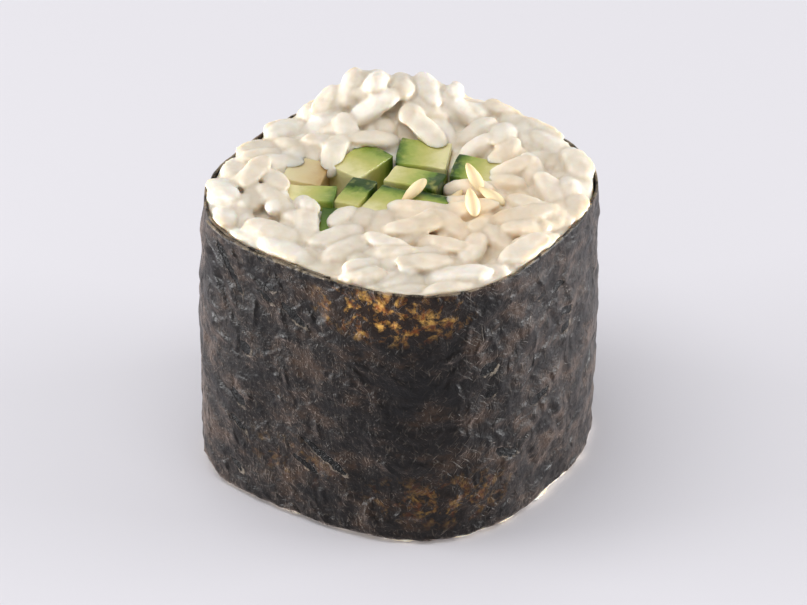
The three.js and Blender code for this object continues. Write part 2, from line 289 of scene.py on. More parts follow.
def wall_radius(angle, z):
    """The outer radius of one layer of nori. It takes numbers or arrays."""
    corners = CORNER_SWELL * np.cos(4 * (angle - CORNER_TURN))
    swells = SIDE_SWELL * np.cos(3 * (angle - SIDE_TURN))
    rise = np.clip((z - BAND_FOOT) / BAND_HEIGHT, 0, 1)
    return ROLL_RADIUS + corners + swells + BELLY * np.sin(np.pi * rise)


def wall_middle(z):
    """The middle of the outline at a height, because the foot stands off from under the top."""
    fall = 1 - z / BAND_TOP
    return LEAN[0] * fall, LEAN[1] * fall


def bundle_point(x, y, z):
    """Carries a point of the bundle from the top down to a height."""
    fall = 1 - z / BAND_TOP
    turn = BUNDLE_TWIST * fall
    dx = x - BUNDLE_MIDDLE[0]
    dy = y - BUNDLE_MIDDLE[1]
    return (
        BUNDLE_MIDDLE[0] + dx * math.cos(turn) - dy * math.sin(turn) + BUNDLE_DRIFT[0] * fall,
        BUNDLE_MIDDLE[1] + dx * math.sin(turn) + dy * math.cos(turn) + BUNDLE_DRIFT[1] * fall,
        z,
    )


# ---------- Working with pieces ----------


def reshape(piece, place):
    """Moves each vertex to where place(x, y, z) says."""
    for vertex in piece.data.vertices:
        vertex.co = place(*vertex.co)
    piece.data.update()


def positions(piece):
    """The vertices of a piece as an array."""
    points = np.empty(len(piece.data.vertices) * 3)
    piece.data.vertices.foreach_get("co", points)
    return points.reshape(-1, 3)


def normals_of(piece):
    """The normals of a piece's vertices as an array."""
    normals = np.empty(len(piece.data.vertices) * 3)
    piece.data.vertices.foreach_get("normal", normals)
    return normals.reshape(-1, 3)


def set_positions(piece, points):
    """Moves a piece's vertices to the rows of an array."""
    piece.data.vertices.foreach_set("co", points.ravel())
    piece.data.update()


def set_attribute(piece, name, values):
    """Gives each vertex a number that the piece's material reads."""
    attribute = piece.data.attributes.new(name, "FLOAT", "POINT")
    attribute.data.foreach_set("value", np.asarray(values, np.float32))


def apply_modifier(piece, kind, **settings):
    bpy.context.view_layer.objects.active = piece
    modifier = piece.modifiers.new(kind, kind)
    for name, value in settings.items():
        setattr(modifier, name, value)
    bpy.ops.object.modifier_apply(modifier=modifier.name)


def select_only(piece):
    bpy.ops.object.select_all(action="DESELECT")
    piece.select_set(True)
    bpy.context.view_layer.objects.active = piece


def discard(piece):
    """Removes a helper piece and its mesh."""
    mesh = piece.data
    bpy.data.objects.remove(piece)
    bpy.data.meshes.remove(mesh)


def object_from(work, name):
    """A new object from a bmesh, which is freed."""
    mesh = bpy.data.meshes.new(name)
    work.to_mesh(mesh)
    work.free()
    piece = bpy.data.objects.new(name, mesh)
    bpy.context.collection.objects.link(piece)
    return piece


def lying_ball(segments, rings):
    """A ball of radius 1 whose poles lie along X."""
    bpy.ops.object.select_all(action="DESELECT")
    bpy.ops.mesh.primitive_uv_sphere_add(segments=segments, ring_count=rings, radius=1)
    bpy.ops.object.mode_set(mode="EDIT")
    bpy.ops.mesh.select_all(action="SELECT")
    bpy.ops.transform.rotate(value=math.pi / 2, orient_axis="Y", center_override=(0, 0, 0))
    bpy.ops.object.mode_set(mode="OBJECT")
    return bpy.context.object


def copies_of(pattern, poses, name):
    """One object with a copy of a pattern's mesh at each pose."""
    work = bmesh.new()
    for pose in poses:
        copy = pattern.data.copy()
        copy.transform(pose)
        work.from_mesh(copy)
        bpy.data.meshes.remove(copy)
    return object_from(work, name)


def settle(piece, name, nodes, slot, material):
    """Brings a finished piece to metres, in its place in the frame, and names what it stands for."""
    piece.name = name
    piece.data.name = name
    piece.data.transform(Matrix.Scale(MM, 4) @ Matrix.Translation((*BOX_MIDDLE, 0)))
    piece.data.materials.clear()
    piece.data.materials.append(material)
    select_only(piece)
    bpy.ops.object.shade_smooth()
    piece.select_set(False)
    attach(piece, "root")
    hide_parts(*nodes)


# ---------- Rice ----------


DRAW_FACTOR = 16807
DRAW_MODULUS = 2**31 - 1


def drawer(seed):
    """A repeatable draw from 0 to 1, the same as the solid's."""
    state = seed
    while True:
        state = state * DRAW_FACTOR % DRAW_MODULUS
        yield state / DRAW_MODULUS


def clear_of_batons(x, y):
    """How far a point of the top face is outside the nearest baton, or below 0 where it is on one."""
    least = math.inf
    for _, bx, by, deep, wide, peel, _, _ in BATONS:
        turn = math.radians(peel)
        dx = x - bx
        dy = y - by
        across = abs(dx * math.cos(turn) + dy * math.sin(turn)) - deep / 2
        along = abs(-dx * math.sin(turn) + dy * math.cos(turn)) - wide / 2
        least = min(least, max(across, along))
    return least


def far_from(at, radii, x, y):
    """How far a point is from the middle of an ellipse, squared: 1 is on it."""
    return ((x - at[0]) / radii[0]) ** 2 + ((y - at[1]) / radii[1]) ** 2


def mound_share(x, y):
    """How much of the mound's height stands at a point."""
    return np.exp(-far_from(MOUND_AT, MOUND_RADII, x, y))


def level_at(x, y, mound):
    """How high the cut face is at a point. It takes numbers or arrays."""
    return RICE_LEVEL + mound * mound_share(x, y)


# Steps that spread points evenly over a disc, one for the angle and one for the distance.
ANGLE_STEP = 0.5698403
REACH_STEP = 0.7548777


def grain_places(seed, tries, large=(), crown=()):
    """Places for grains: the large ones, then some round the rim, then the rest spread evenly, and the
    crown last."""
    draw = drawer(seed)
    places = [(x, y, math.radians(turn), size, 0.2, False) for x, y, turn, size in large]
    for i in range(-RIM_GRAINS, tries):
        on_rim = i < 0
        angle = 2 * math.pi * (-i / RIM_GRAINS if on_rim else i * ANGLE_STEP % 1)
        rim = wall_radius(angle, BAND_TOP) - NORI_THICKNESS - GRAIN_WIDTH / 2
        reach = rim if on_rim else rim * math.sqrt((i * REACH_STEP + 0.5) % 1)
        free = smoothstep(rim - reach, 0, RIM_ZONE)
        turn = angle + math.pi / 2 + (next(draw) - 0.5) * math.pi * (0.3 + 0.7 * free)
        size = 0.86 + 0.28 * next(draw)
        x, y = reach * math.cos(angle), reach * math.sin(angle)
        places.append((x, y, turn, size, next(draw), False))
    return places + [(x, y, math.radians(turn), size, CROWN_LIFT, True) for x, y, turn, size in crown]


def poured_grains(places, mound, bottom=CORE_TOP, below=0.0):
    """Drops grains on a heap until it is level with the cut face, or stays below it by a given depth."""
    half = math.ceil((ROLL_RADIUS + 3) / HEAP_CELL)
    heap = np.full((2 * half + 1, 2 * half + 1), bottom)
    a, b, c = GRAIN_LENGTH / 2, GRAIN_WIDTH / 2, GRAIN_THICK / 2

    def cell(x, y):
        return math.floor(y / HEAP_CELL + 0.5) + half, math.floor(x / HEAP_CELL + 0.5) + half

    grains = []
    for x, y, turn, size, lift, crowning in places:
        in_bundle = far_from(BUNDLE_CLEAR_AT, BUNDLE_CLEAR_RADII, x, y) < 1
        if in_bundle or clear_of_batons(x, y) < b * 0.55:
            continue
        cos, sin = math.cos(turn), math.sin(turn)
        tail, middle, head = (heap[cell(x + s * a * cos, y + s * a * sin)] for s in (-0.7, 0, 0.7))
        level = level_at(x, y, mound) - below
        full = middle > level - 0.4 or (tail + middle + head) / 3 > level - 0.2
        if full and not crowning:
            continue
        tilt = math.atan2(head - tail, 1.4 * a)
        tilt = min(max(tilt, -GRAIN_TILT_LIMIT), GRAIN_TILT_LIMIT)
        z = max((tail + head) / 2, middle) + c - GRAIN_SINK * (0.7 + 0.6 * lift)
        grains.append((x, y, z, turn, tilt, size))
        for u in np.arange(-a, a, HEAP_CELL / 2):
            for v in np.arange(-b, b, HEAP_CELL / 2):
                whole = 1 - (u / a) ** 2 - (v / b) ** 2
                if whole > 0:
                    k = cell(x + u * cos - v * sin, y + u * sin + v * cos)
                    heap[k] = max(heap[k], z + u * math.tan(tilt) + c * math.sqrt(whole))
    return grains, heap, cell


def poured_top():
    """The heap of grains of the top face."""
    places = grain_places(TOP_SEED, TOP_TRIES, LARGE_GRAINS, CROWN_GRAINS)
    return poured_grains(places, MOUND_HEIGHT)


def grain_pose(grain):
    """The matrix that lays the one modelled grain in its place."""
    x, y, z, turn, tilt, size = grain
    turned = Matrix.Rotation(turn, 4, "Z") @ Matrix.Rotation(-tilt, 4, "Y")
    return Matrix.Translation((x, y, z)) @ turned @ Matrix.Diagonal((size, size, 1, 1))


def model_grain():
    """A cooked grain: plump, blunt at both ends, a little bowed, thinner towards its tip."""
    grain = lying_ball(14, 10)

    def plump(x, y, z):
        slim = math.sqrt(max(1 - x * x, 1e-6))
        girth = max(1 - abs(x) ** 2.7, 0.0) ** 0.5 / slim * (1 - 0.06 * (x + 1))
        bow = 0.16 * (x * x - 0.4)
        return x * GRAIN_LENGTH / 2, (y * girth + bow) * GRAIN_WIDTH / 2, z * girth * GRAIN_THICK / 2

    reshape(grain, plump)
    return grain


def inside_wall(points, spill, places):
    """Keeps points inside the nori. Past its cut edges they are pushed out, most at the given places."""
    z = points[:, 2]
    mx, my = wall_middle(z)
    dx, dy = points[:, 0] - mx, points[:, 1] - my
    reach = np.hypot(dx, dy)
    angle = np.arctan2(dy, dx)
    uneven = 0.7 + 0.2 * np.sin(13 * angle + 2 * np.sin(3 * angle)) + 0.12 * np.sin(29 * angle + 1.0)
    for place, width, strength in places:
        aside = (np.degrees(angle) - place + 180) % 360 - 180
        uneven += strength * np.exp(-((aside / width) ** 2))
    over = np.clip((z - BAND_TOP + 0.1) / 0.4, 0, 1) + np.clip((BAND_FOOT - z) / 0.35, 0, 1)
    inner = wall_radius(angle, z) - NORI_THICKNESS - SNUG
    pushed = reach + over * spill * uneven * np.clip((reach - inner + 2.0) / 2.0, 0, 1)
    kept = np.minimum(pushed, inner + over * spill * uneven) / np.maximum(reach, 1e-9)
    return np.column_stack((mx + dx * kept, my + dy * kept, z))


def wall_filling(z0, z1, gap, columns=96):
    """The space inside the nori from z0 to z1."""
    bpy.ops.object.select_all(action="DESELECT")
    bpy.ops.mesh.primitive_cylinder_add(vertices=columns, radius=1, depth=1, location=(0, 0, 0))
    filling = bpy.context.object

    def place(x, y, z):
        height = z0 + (z + 0.5) * (z1 - z0)
        angle = math.atan2(y, x)
        reach = math.hypot(x, y) * (wall_radius(angle, height) - NORI_THICKNESS - gap)
        mx, my = wall_middle(height)
        return mx + reach * math.cos(angle), my + reach * math.sin(angle), height

    reshape(filling, place)
    return filling


def baton_room(margin, past):
    """The room of every baton with a margin, to a height past its top, as prisms in one object."""
    work = bmesh.new()
    for _, bx, by, deep, wide, peel, top, _ in BATONS:
        turn = Matrix.Translation((bx, by, 0)) @ Matrix.Rotation(math.radians(peel), 4, "Z")
        corners = bmesh.ops.create_cube(work, size=1)["verts"]
        for corner in corners:
            x, y, z = corner.co
            level = turn @ Vector((x * (deep + 2 * margin), y * (wide + 2 * margin), 0))
            corner.co = bundle_point(level.x, level.y, BATON_TOP + top + past if z > 0 else -2.0)
    return object_from(work, "baton room")


def model_bed(top_side):
    """The mashed rice that fills the hollows: a slab with an uneven top, sunk where the filling is."""
    bpy.ops.object.select_all(action="DESELECT")
    bpy.ops.mesh.primitive_grid_add(x_subdivisions=110, y_subdivisions=110, size=2)
    bed = bpy.context.object

    def place(x, y, _):
        # The square grid is rounded to a disc, and the disc to the outline.
        u, v = x * math.sqrt(1 - y * y / 2), y * math.sqrt(1 - x * x / 2)
        angle = math.atan2(v, u)
        reach = math.hypot(u, v)
        radius = reach * (wall_radius(angle, BAND_TOP) - NORI_THICKNESS - SNUG)
        px, py = radius * math.cos(angle), radius * math.sin(angle)
        at_rim = smoothstep(reach, 0.9, 0.98)
        sunk = (BED_DEPTH if top_side else FOOT_BED_DEPTH) * (1 - at_rim) + RIM_BED_DEPTH * at_rim
        uneven = 0.35 * noise.fractal(Vector((px / 2.4, py / 2.4, 5.0)), 1.0, 2.0, 2)
        height = level_at(px, py, MOUND_HEIGHT if top_side else 0.0) - sunk + uneven * (1 - 0.6 * at_rim)
        inside = far_from(BUNDLE_CLEAR_AT, BUNDLE_CLEAR_RADII, px, py)
        return px, py, height - 3.5 * (1 - smoothstep(inside, 0.8, 1.25))

    reshape(bed, place)
    apply_modifier(bed, "SOLIDIFY", thickness=3.0, offset=-1.0)
    room = baton_room(BATON_GROWTH + SNUG, 4.0)
    apply_modifier(bed, "BOOLEAN", object=room, operation="DIFFERENCE", solver="MANIFOLD")
    discard(room)
    return bed


def tones_of(points, grains, draws):
    """For each point, the tone of the grain that it lies on, and how near it lies to where two grains meet,
    which sets the painted shade in the creases.
    """
    nearest = np.full(len(points), FAR_OFF)
    second = np.full(len(points), FAR_OFF)
    tone = np.full(len(points), 0.5)
    order = np.argsort(points[:, 0])
    sorted_x = points[order, 0]
    half = np.array((GRAIN_LENGTH, GRAIN_WIDTH, GRAIN_THICK)) / 2
    for grain in grains:
        start, end = np.searchsorted(sorted_x, (grain[0] - GRAIN_LENGTH, grain[0] + GRAIN_LENGTH))
        near = order[start:end]
        back = np.array(grain_pose(grain).inverted())
        local = points[near] @ back[:3, :3].T + back[:3, 3]
        far = np.sqrt(((local / half) ** 2).sum(1))
        shade = next(draws)
        closer = far < nearest[near]
        second[near] = np.where(closer, nearest[near], np.minimum(second[near], far))
        tone[near] = np.where(closer, shade, tone[near])
        nearest[near] = np.where(closer, far, nearest[near])
    crease = 1 - np.clip((second - nearest) / 0.35, 0, 1)
    return tone, crease


def nearness_to_rim(points):
    """How near each point is to the nori, from 0 to 1 over the last half millimetre."""
    mx, my = wall_middle(points[:, 2])
    dx, dy = points[:, 0] - mx, points[:, 1] - my
    inner = wall_radius(np.arctan2(dy, dx), points[:, 2]) - NORI_THICKNESS
    return np.clip((np.hypot(dx, dy) - inner + 0.35) / 0.4, 0, 1)


def roughen(piece, amount, size, seed):
    """Moves each vertex along its normal by noise of a given size."""
    points = positions(piece)
    shift = [noise.fractal(Vector(point), 0.9, 2.0, 2) for point in points / size + seed]
    set_positions(piece, points + normals_of(piece) * (np.array(shift)[:, None] * amount))


def drop_crumbs(piece):
    """Deletes the specks that a remesh leaves loose of the piece's one body."""
    outermost = int(positions(piece)[:, 0].argmax())
    select_only(piece)
    bpy.ops.object.mode_set(mode="EDIT")
    bpy.ops.mesh.select_mode(type="VERT")
    bpy.ops.mesh.select_all(action="DESELECT")
    bpy.ops.object.mode_set(mode="OBJECT")
    piece.data.vertices[outermost].select = True
    bpy.ops.object.mode_set(mode="EDIT")
    bpy.ops.mesh.select_linked()
    bpy.ops.mesh.select_all(action="INVERT")
    bpy.ops.mesh.delete(type="VERT")
    bpy.ops.object.mode_set(mode="OBJECT")


def model_crust(settings, grains, top_side):
    """A crust of sticky grains: copies of one grain on a bed, pressed flat and grown together."""
    pattern = model_grain()
    crust = copies_of(pattern, [grain_pose(g) for g in grains], "crust")
    discard(pattern)
    # The knife flattens what stands out, less so on the mound.
    points = positions(crust)
    x, y, z = points.T
    mound = mound_share(x, y) if top_side else np.zeros(len(x))
    knee = RICE_LEVEL + MOUND_HEIGHT * mound - 0.3
    give = settings.softness / MM * (1 + 2 * mound)
    points[:, 2] = np.where(z > knee, knee + give * np.tanh((z - knee) / give), z)
    set_positions(crust, points)
    bed = model_bed(top_side)
    select_only(crust)
    bed.select_set(True)
    bpy.ops.object.join()
    points = positions(crust)
    if not top_side:
        # What the knife left flat stands on the table.
        points[:, 2] = np.maximum(RICE_LEVEL - points[:, 2], 0)
    spill = settings.spill / MM * (1 if top_side else 0.8)
    set_positions(crust, inside_wall(points, spill, TOP_SPILLS if top_side else FOOT_SPILLS))
    apply_modifier(crust, "REMESH", mode="VOXEL", voxel_size=settings.fineness / MM)
    drop_crumbs(crust)
    apply_modifier(crust, "SMOOTH", factor=0.5, iterations=settings.stickiness)
    roughen(crust, 0.1, 1.3, 3.0)
    if not top_side:
        points = positions(crust)
        points[:, 2] = np.maximum(points[:, 2], 0)
        set_positions(crust, points)
    return crust


class MakiRiceSettings(bpy.types.PropertyGroup):
    fineness: bpy.props.FloatProperty(
        name="Fineness",
        description="Edge of the faces of the rice",
        default=0.23 * MM,
        unit="LENGTH",
        precision=5,
    )
    softness: bpy.props.FloatProperty(
        name="Softness",
        description="How far the knife lets a grain stand out",
        default=1.4 * MM,
        unit="LENGTH",
        precision=5,
    )
    stickiness: bpy.props.IntProperty(
        name="Stickiness",
        description="How far the grains have grown together, in passes of smoothing",
        default=2,
        min=0,
    )
    spill: bpy.props.FloatProperty(
        name="Spill",
        description="How far rice hangs over the cut edges of the nori",
        default=0.45 * MM,
        unit="LENGTH",
        precision=5,
    )
    white: bpy.props.FloatVectorProperty(
        name="White", description="The palest grains", subtype="COLOR", size=4, default=linear("f8f2e8")
    )
    cream: bpy.props.FloatVectorProperty(
        name="Cream", description="The creamiest grains", subtype="COLOR", size=4, default=linear("ebe0cf")
    )
    # The colour of the painted shade in the creases between grains; the milky clouds also lean towards it.
    crease: bpy.props.FloatVectorProperty(
        name="Crease",
        description="Painted shade in the creases between the grains",
        subtype="COLOR",
        size=4,
        default=linear("c9b899"),
    )
    blush: bpy.props.FloatVectorProperty(
        name="Blush",
        description="The warm tint of the rice near the sesame",
        subtype="COLOR",
        size=4,
        default=linear("f0d3ab"),
    )
    edge: bpy.props.FloatVectorProperty(
        name="Edge", description="Dried starch at the nori", subtype="COLOR", size=4, default=linear("e6cfa6")
    )


def rice_material(settings):
    """Cooked short-grain rice, steamed and dressed. Its swollen starch lets light in, so grains look
    milky, shadows between them stay warm, and a moist film gives small soft highlights."""
    material, tree, coords = start_material("Cooked sushi rice")
    tone = add_node(tree, "ShaderNodeAttribute", attribute_name="tone").outputs["Fac"]
    crease = add_node(tree, "ShaderNodeAttribute", attribute_name="crease").outputs["Fac"]
    grains = add_node(
        tree,
        "ShaderNodeMix",
        {0: tone, MIX_A: settings.white, MIX_B: settings.cream},
        data_type="RGBA",
    ).outputs[MIX_RESULT]
    # Milky clouds inside a grain, a millimetre or two across.
    clouds = add_node(
        tree, "ShaderNodeTexNoise", {"Vector": coords, "Scale": 1 / (1.6 * MM), "Detail": 3.0}
    ).outputs["Fac"]
    clouded = add_node(
        tree, "ShaderNodeMapRange", {"Value": clouds, "From Min": 0.35, "From Max": 0.75, "To Max": 0.35}
    ).outputs["Result"]
    milky = add_node(
        tree,
        "ShaderNodeMix",
        {0: clouded, MIX_A: grains, MIX_B: settings.crease},
        data_type="RGBA",
    ).outputs[MIX_RESULT]
    # The blush lies round the sesame heap, at the front right of the filling.
    far = add_node(
        tree,
        "ShaderNodeVectorMath",
        {0: coords, 1: (8.0 * MM, -4.0 * MM, BAND_TOP * MM)},
        operation="DISTANCE",
    ).outputs["Value"]
    near_sesame = add_node(
        tree,
        "ShaderNodeMapRange",
        {"Value": far, "From Min": 2 * MM, "From Max": 15 * MM, "To Min": 1.1, "To Max": 0.0},
    ).outputs["Result"]
    patches = add_node(
        tree, "ShaderNodeTexNoise", {"Vector": coords, "Scale": 1 / (5 * MM), "Detail": 1.0}
    ).outputs["Fac"]
    blushed = add_node(
        tree, "ShaderNodeMath", {0: near_sesame, 1: patches}, operation="MULTIPLY"
    ).outputs["Value"]
    tinted = add_node(
        tree, "ShaderNodeMix", {0: blushed, MIX_A: milky, MIX_B: settings.blush}, data_type="RGBA"
    ).outputs[MIX_RESULT]
    # Painted shade: where two grains meet, the creases are darkened towards the crease colour.
    depth = add_node(tree, "ShaderNodeMath", {0: crease, 1: 0.4}, operation="MULTIPLY").outputs["Value"]
    colour = add_node(
        tree, "ShaderNodeMix", {0: depth, MIX_A: tinted, MIX_B: settings.crease}, data_type="RGBA"
    ).outputs[MIX_RESULT]
    # Starch dries golden where the rice meets the nori.
    rim = add_node(tree, "ShaderNodeAttribute", attribute_name="rim").outputs["Fac"]
    dried = add_node(tree, "ShaderNodeMath", {0: rim, 1: 0.5}, operation="MULTIPLY").outputs["Value"]
    colour = add_node(
        tree, "ShaderNodeMix", {0: dried, MIX_A: colour, MIX_B: settings.edge}, data_type="RGBA"
    ).outputs[MIX_RESULT]
    # The skin of a grain is finely ribbed along its length, and starch makes it uneven.
    skin = add_node(
        tree, "ShaderNodeTexNoise", {"Vector": coords, "Scale": 1 / (0.5 * MM), "Detail": 4.0}
    ).outputs["Fac"]
    bump = add_node(
        tree, "ShaderNodeBump", {"Height": skin, "Strength": 0.35, "Distance": 0.12 * MM}
    ).outputs["Normal"]
    gloss = add_node(
        tree, "ShaderNodeMapRange", {"Value": clouds, "To Min": 0.26, "To Max": 0.5}
    ).outputs["Result"]
    return end_material(
        material,
        tree,
        {
            "Base Color": colour,
            "Roughness": gloss,
            "Normal": bump,
            "IOR": 1.4,
            "Subsurface Weight": 0.75,
            "Subsurface Radius": (1.0, 0.75, 0.5),
            "Subsurface Scale": 0.9 * MM,
            "Coat Weight": 0.35,
            "Coat Roughness": 0.2,
        },
    )


class MAKI_OT_rice(bpy.types.Operator):
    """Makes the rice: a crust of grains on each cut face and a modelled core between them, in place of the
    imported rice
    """

    bl_idname = "maki.rice"
    bl_label = "Rice"

    def execute(self, context):
        settings = context.scene.maki_rice
        material = rice_material(settings)
        draws = drawer(TONE_SEED)
        top_grains, _, _ = poured_top()
        foot_grains, _, _ = poured_grains(grain_places(FOOT_SEED, FOOT_TRIES), 0.0)
        # Lower grains show in the hollows between the upper ones.
        low_places = grain_places(LOW_SEED, LOW_TRIES)
        low_grains, _, _ = poured_grains(low_places, 0.0, CORE_TOP - LOW_START, LOW_DEPTH)
        room = baton_room(BATON_GROWTH + SNUG, 0.15)
        for name, grains, top_side in (
            ("rice_top", low_grains + top_grains, True),
            ("rice_foot", low_grains + foot_grains, False),
        ):
            crust = model_crust(settings, grains, top_side)
            apply_modifier(crust, "BOOLEAN", object=room, operation="DIFFERENCE", solver="MANIFOLD")
            apply_modifier(crust, "SMOOTH", factor=0.4, iterations=2)
            points = positions(crust)
            if not top_side:
                points[:, 2] = RICE_LEVEL - points[:, 2]
            tone, crease = tones_of(points, grains, draws)
            set_attribute(crust, "tone", tone)
            set_attribute(crust, "crease", crease)
            set_attribute(crust, "rim", nearness_to_rim(points))
            settle(crust, name, ["rice"], "rice", material)
        core = wall_filling(RELIEF + 0.8, CORE_TOP - 2.2, WALL_GAP)
        apply_modifier(core, "BOOLEAN", object=room, operation="DIFFERENCE", solver="MANIFOLD")
        settle(core, "rice_core", ["rice"], "rice", material)
        discard(room)
        return {"FINISHED"}


# ---------- Nori ----------

# Creases in the sheet: start angle in degrees, height, end angle, height, depth and width.
CREASES = (
    (196, 30.5, 214, 21.0, 0.35, 0.5),
    (201, 31.0, 223, 24.5, 0.28, 0.45),
    (208, 31.2, 219, 27.0, 0.22, 0.4),
    (204, 14.0, 216, 11.5, 0.2, 0.5),
    (318, 26.0, 331, 19.0, 0.18, 0.5),
    (322, 12.0, 332, 6.5, 0.25, 0.5),
    (311, 9.0, 318, 4.0, 0.25, 0.5),
    (286, 8.0, 292, 3.5, 0.2, 0.45),
)

# Slits and holes in the front of the sheet: x, z, length, width, and the slant in degrees.
SLITS = (
    (-11.6, 25.7, 3.0, 0.7, 38),
    (-14.6, 26.7, 1.9, 0.35, 35),
    (-14.1, 28.1, 0.7, 0.5, 0),
    (-15.0, 31.1, 0.7, 0.8, 0),
    (-18.4, 28.0, 5.5, 0.3, 62),
    (-16.8, 19.3, 1.2, 1.0, 60),
    (-17.6, 12.6, 1.8, 0.8, 55),
    (-17.6, 9.3, 1.8, 0.4, 40),
    (-17.8, 3.6, 1.2, 0.5, 50),
    (-8.4, 9.3, 5.4, 0.5, 32),
    (-10.5, 7.5, 2.8, 0.4, 30),
    (9.0, 20.9, 1.7, 1.2, -30),
    (9.3, 17.8, 1.3, 0.7, -20),
    (14.5, 14.0, 1.8, 0.6, -25),
    (10.9, 9.5, 2.6, 0.6, 35),
    (16.4, 25.9, 1.0, 0.7, 40),
    (17.3, 22.0, 1.2, 0.7, 50),
    (17.2, 20.0, 1.0, 0.6, -60),
    (14.5, 26.3, 0.7, 0.5, 0),
)

# The near-black painted as shade inside a pit, and the tint of the sheet's sheen.
PIT_SHADE_COLOUR = "030202"
SHEEN_COLOUR = "d9c6bd"

# From a point of a slit's lower lip to the slit.
LIP_OFFSET = (-0.2, 0.0, 0.3)

# Where the sheet is thin: x and z on the front wall, and how thin it is. Such a place is drawn out
# along the sheet, by one over the stretch.
THIN_PLACES = ((-1.0, BAND_TOP - 2.8, 1.0), (4.5, 5.5, 0.3), (-14.0, 7.5, 0.22))
THIN_STRETCH = 0.42
FRONT_WALL_Y = -20.0


def distance_to_slits(points):
    """How far each point of the front is from the edge of the nearest slit, negative inside it."""
    nearest = np.full(len(points), FAR_OFF)
    for x, z, length, width, slant in SLITS:
        turn = math.radians(slant)
        dx, dz = points[:, 0] - x, points[:, 2] - z
        along = np.abs(dx * math.cos(turn) - dz * math.sin(turn)) * 2 / length
        across = dx * math.sin(turn) + dz * math.cos(turn)
        past = np.clip(along - 1, 0, None) * length / 2
        taper = np.sqrt(np.clip(1 - along**2, 0, 1))
        nearest = np.minimum(nearest, np.hypot(past, across) - width / 2 * taper)
    return np.where(points[:, 1] < 0, nearest, FAR_OFF)


def crease_depth(angle, z):
    """How deep the sheet is creased at an angle in degrees and a height."""
    depth = 0.0
    for a0, z0, a1, z1, deep, wide in CREASES:
        scale = ROLL_RADIUS * math.pi / 180
        px, pz = (angle - a0) * scale, z - z0
        dx, dz = (a1 - a0) * scale, z1 - z0
        length = dx * dx + dz * dz
        t = min(max((px * dx + pz * dz) / length, 0.0), 1.0)
        aside = math.hypot(px - t * dx, pz - t * dz)
        fade = math.sin(math.pi * (0.08 + 0.84 * t))
        # The sheet stands up beside a crease.
        ridge = 0.4 * math.exp(-(((aside - 2 * wide) / wide) ** 2))
        depth += deep * fade * (math.exp(-((aside / wide) ** 2)) - ridge)
    return depth


def crumple(angle, z):
    """How far the sheet stands out at an angle and a height: grains press it out, and it puckers."""
    along = Vector((ROLL_RADIUS * math.cos(angle), ROLL_RADIUS * math.sin(angle), z))
    swell = 0.24 * noise.fractal(along / 7.0, 1.0, 2.0, 2)
    pressed = 0.2 * (0.9 - min(noise.voronoi(along / 3.6)[0][0] * 1.6, 1.6))
    folds = 0.14 * (noise.ridged_multi_fractal(along / 3.1, 0.9, 2.2, 3, 1.0, 2.0) - 1.0)
    pucker = 0.1 * noise.fractal(along / 1.3, 0.9, 2.1, 2)
    out = swell + pressed + folds + pucker - crease_depth(math.degrees(angle) % 360, z)
    # The crusts of rice press against the sheet near both cuts.
    pressed_flat = max(smoothstep(z, 24.0, 28.0), 1 - smoothstep(z, 3.0, 6.0))
    at_cut = smoothstep(z, BAND_TOP - 2.0, BAND_TOP)
    return max(out * (1 - 0.65 * at_cut), -0.12 - 0.5 * (1 - pressed_flat))


class MakiNoriSettings(bpy.types.PropertyGroup):
    thickness: bpy.props.FloatProperty(
        name="Thickness",
        description="Thickness of the damp sheet",
        default=0.24 * MM,
        unit="LENGTH",
        precision=5,
    )
    fineness: bpy.props.FloatProperty(
        name="Fineness",
        description="Edge of the faces of the nori",
        default=0.36 * MM,
        unit="LENGTH",
        precision=5,
    )
    lift: bpy.props.FloatProperty(
        name="Lift",
        description="How far the free edge has come off at the foot",
        default=0.25 * MM,
        unit="LENGTH",
        precision=5,
    )
    dark: bpy.props.FloatVectorProperty(
        name="Dark", description="The thickest laver", subtype="COLOR", size=4, default=linear("070506")
    )
    middle: bpy.props.FloatVectorProperty(
        name="Middle", description="Laver", subtype="COLOR", size=4, default=linear("100a08")
    )
    brown: bpy.props.FloatVectorProperty(
        name="Brown", description="Thinner laver", subtype="COLOR", size=4, default=linear("3c2a1c")
    )
    # This colour is also painted on the lower lips of the slits as a highlight.
    fibre_and_lip_highlight: bpy.props.FloatVectorProperty(
        name="Fibre", description="Dried fibres, and the painted highlight on the lips of the slits", subtype="COLOR", size=4, default=linear("a39684")
    )
    stain: bpy.props.FloatVectorProperty(
        name="Stain", description="Thin laver", subtype="COLOR", size=4, default=linear("2c1a0c")
    )
    amber: bpy.props.FloatVectorProperty(
        name="Amber", description="Very thin laver", subtype="COLOR", size=4, default=linear("864611")
    )
    gold: bpy.props.FloatVectorProperty(
        name="Gold",
        description="Laver so thin that the rice behind shines through",
        subtype="COLOR",
        size=4,
        default=linear("ebb85f"),
    )
    starch: bpy.props.FloatVectorProperty(
        name="Starch", description="Starch on the cut edge", subtype="COLOR", size=4, default=linear("e6d0ae")
    )


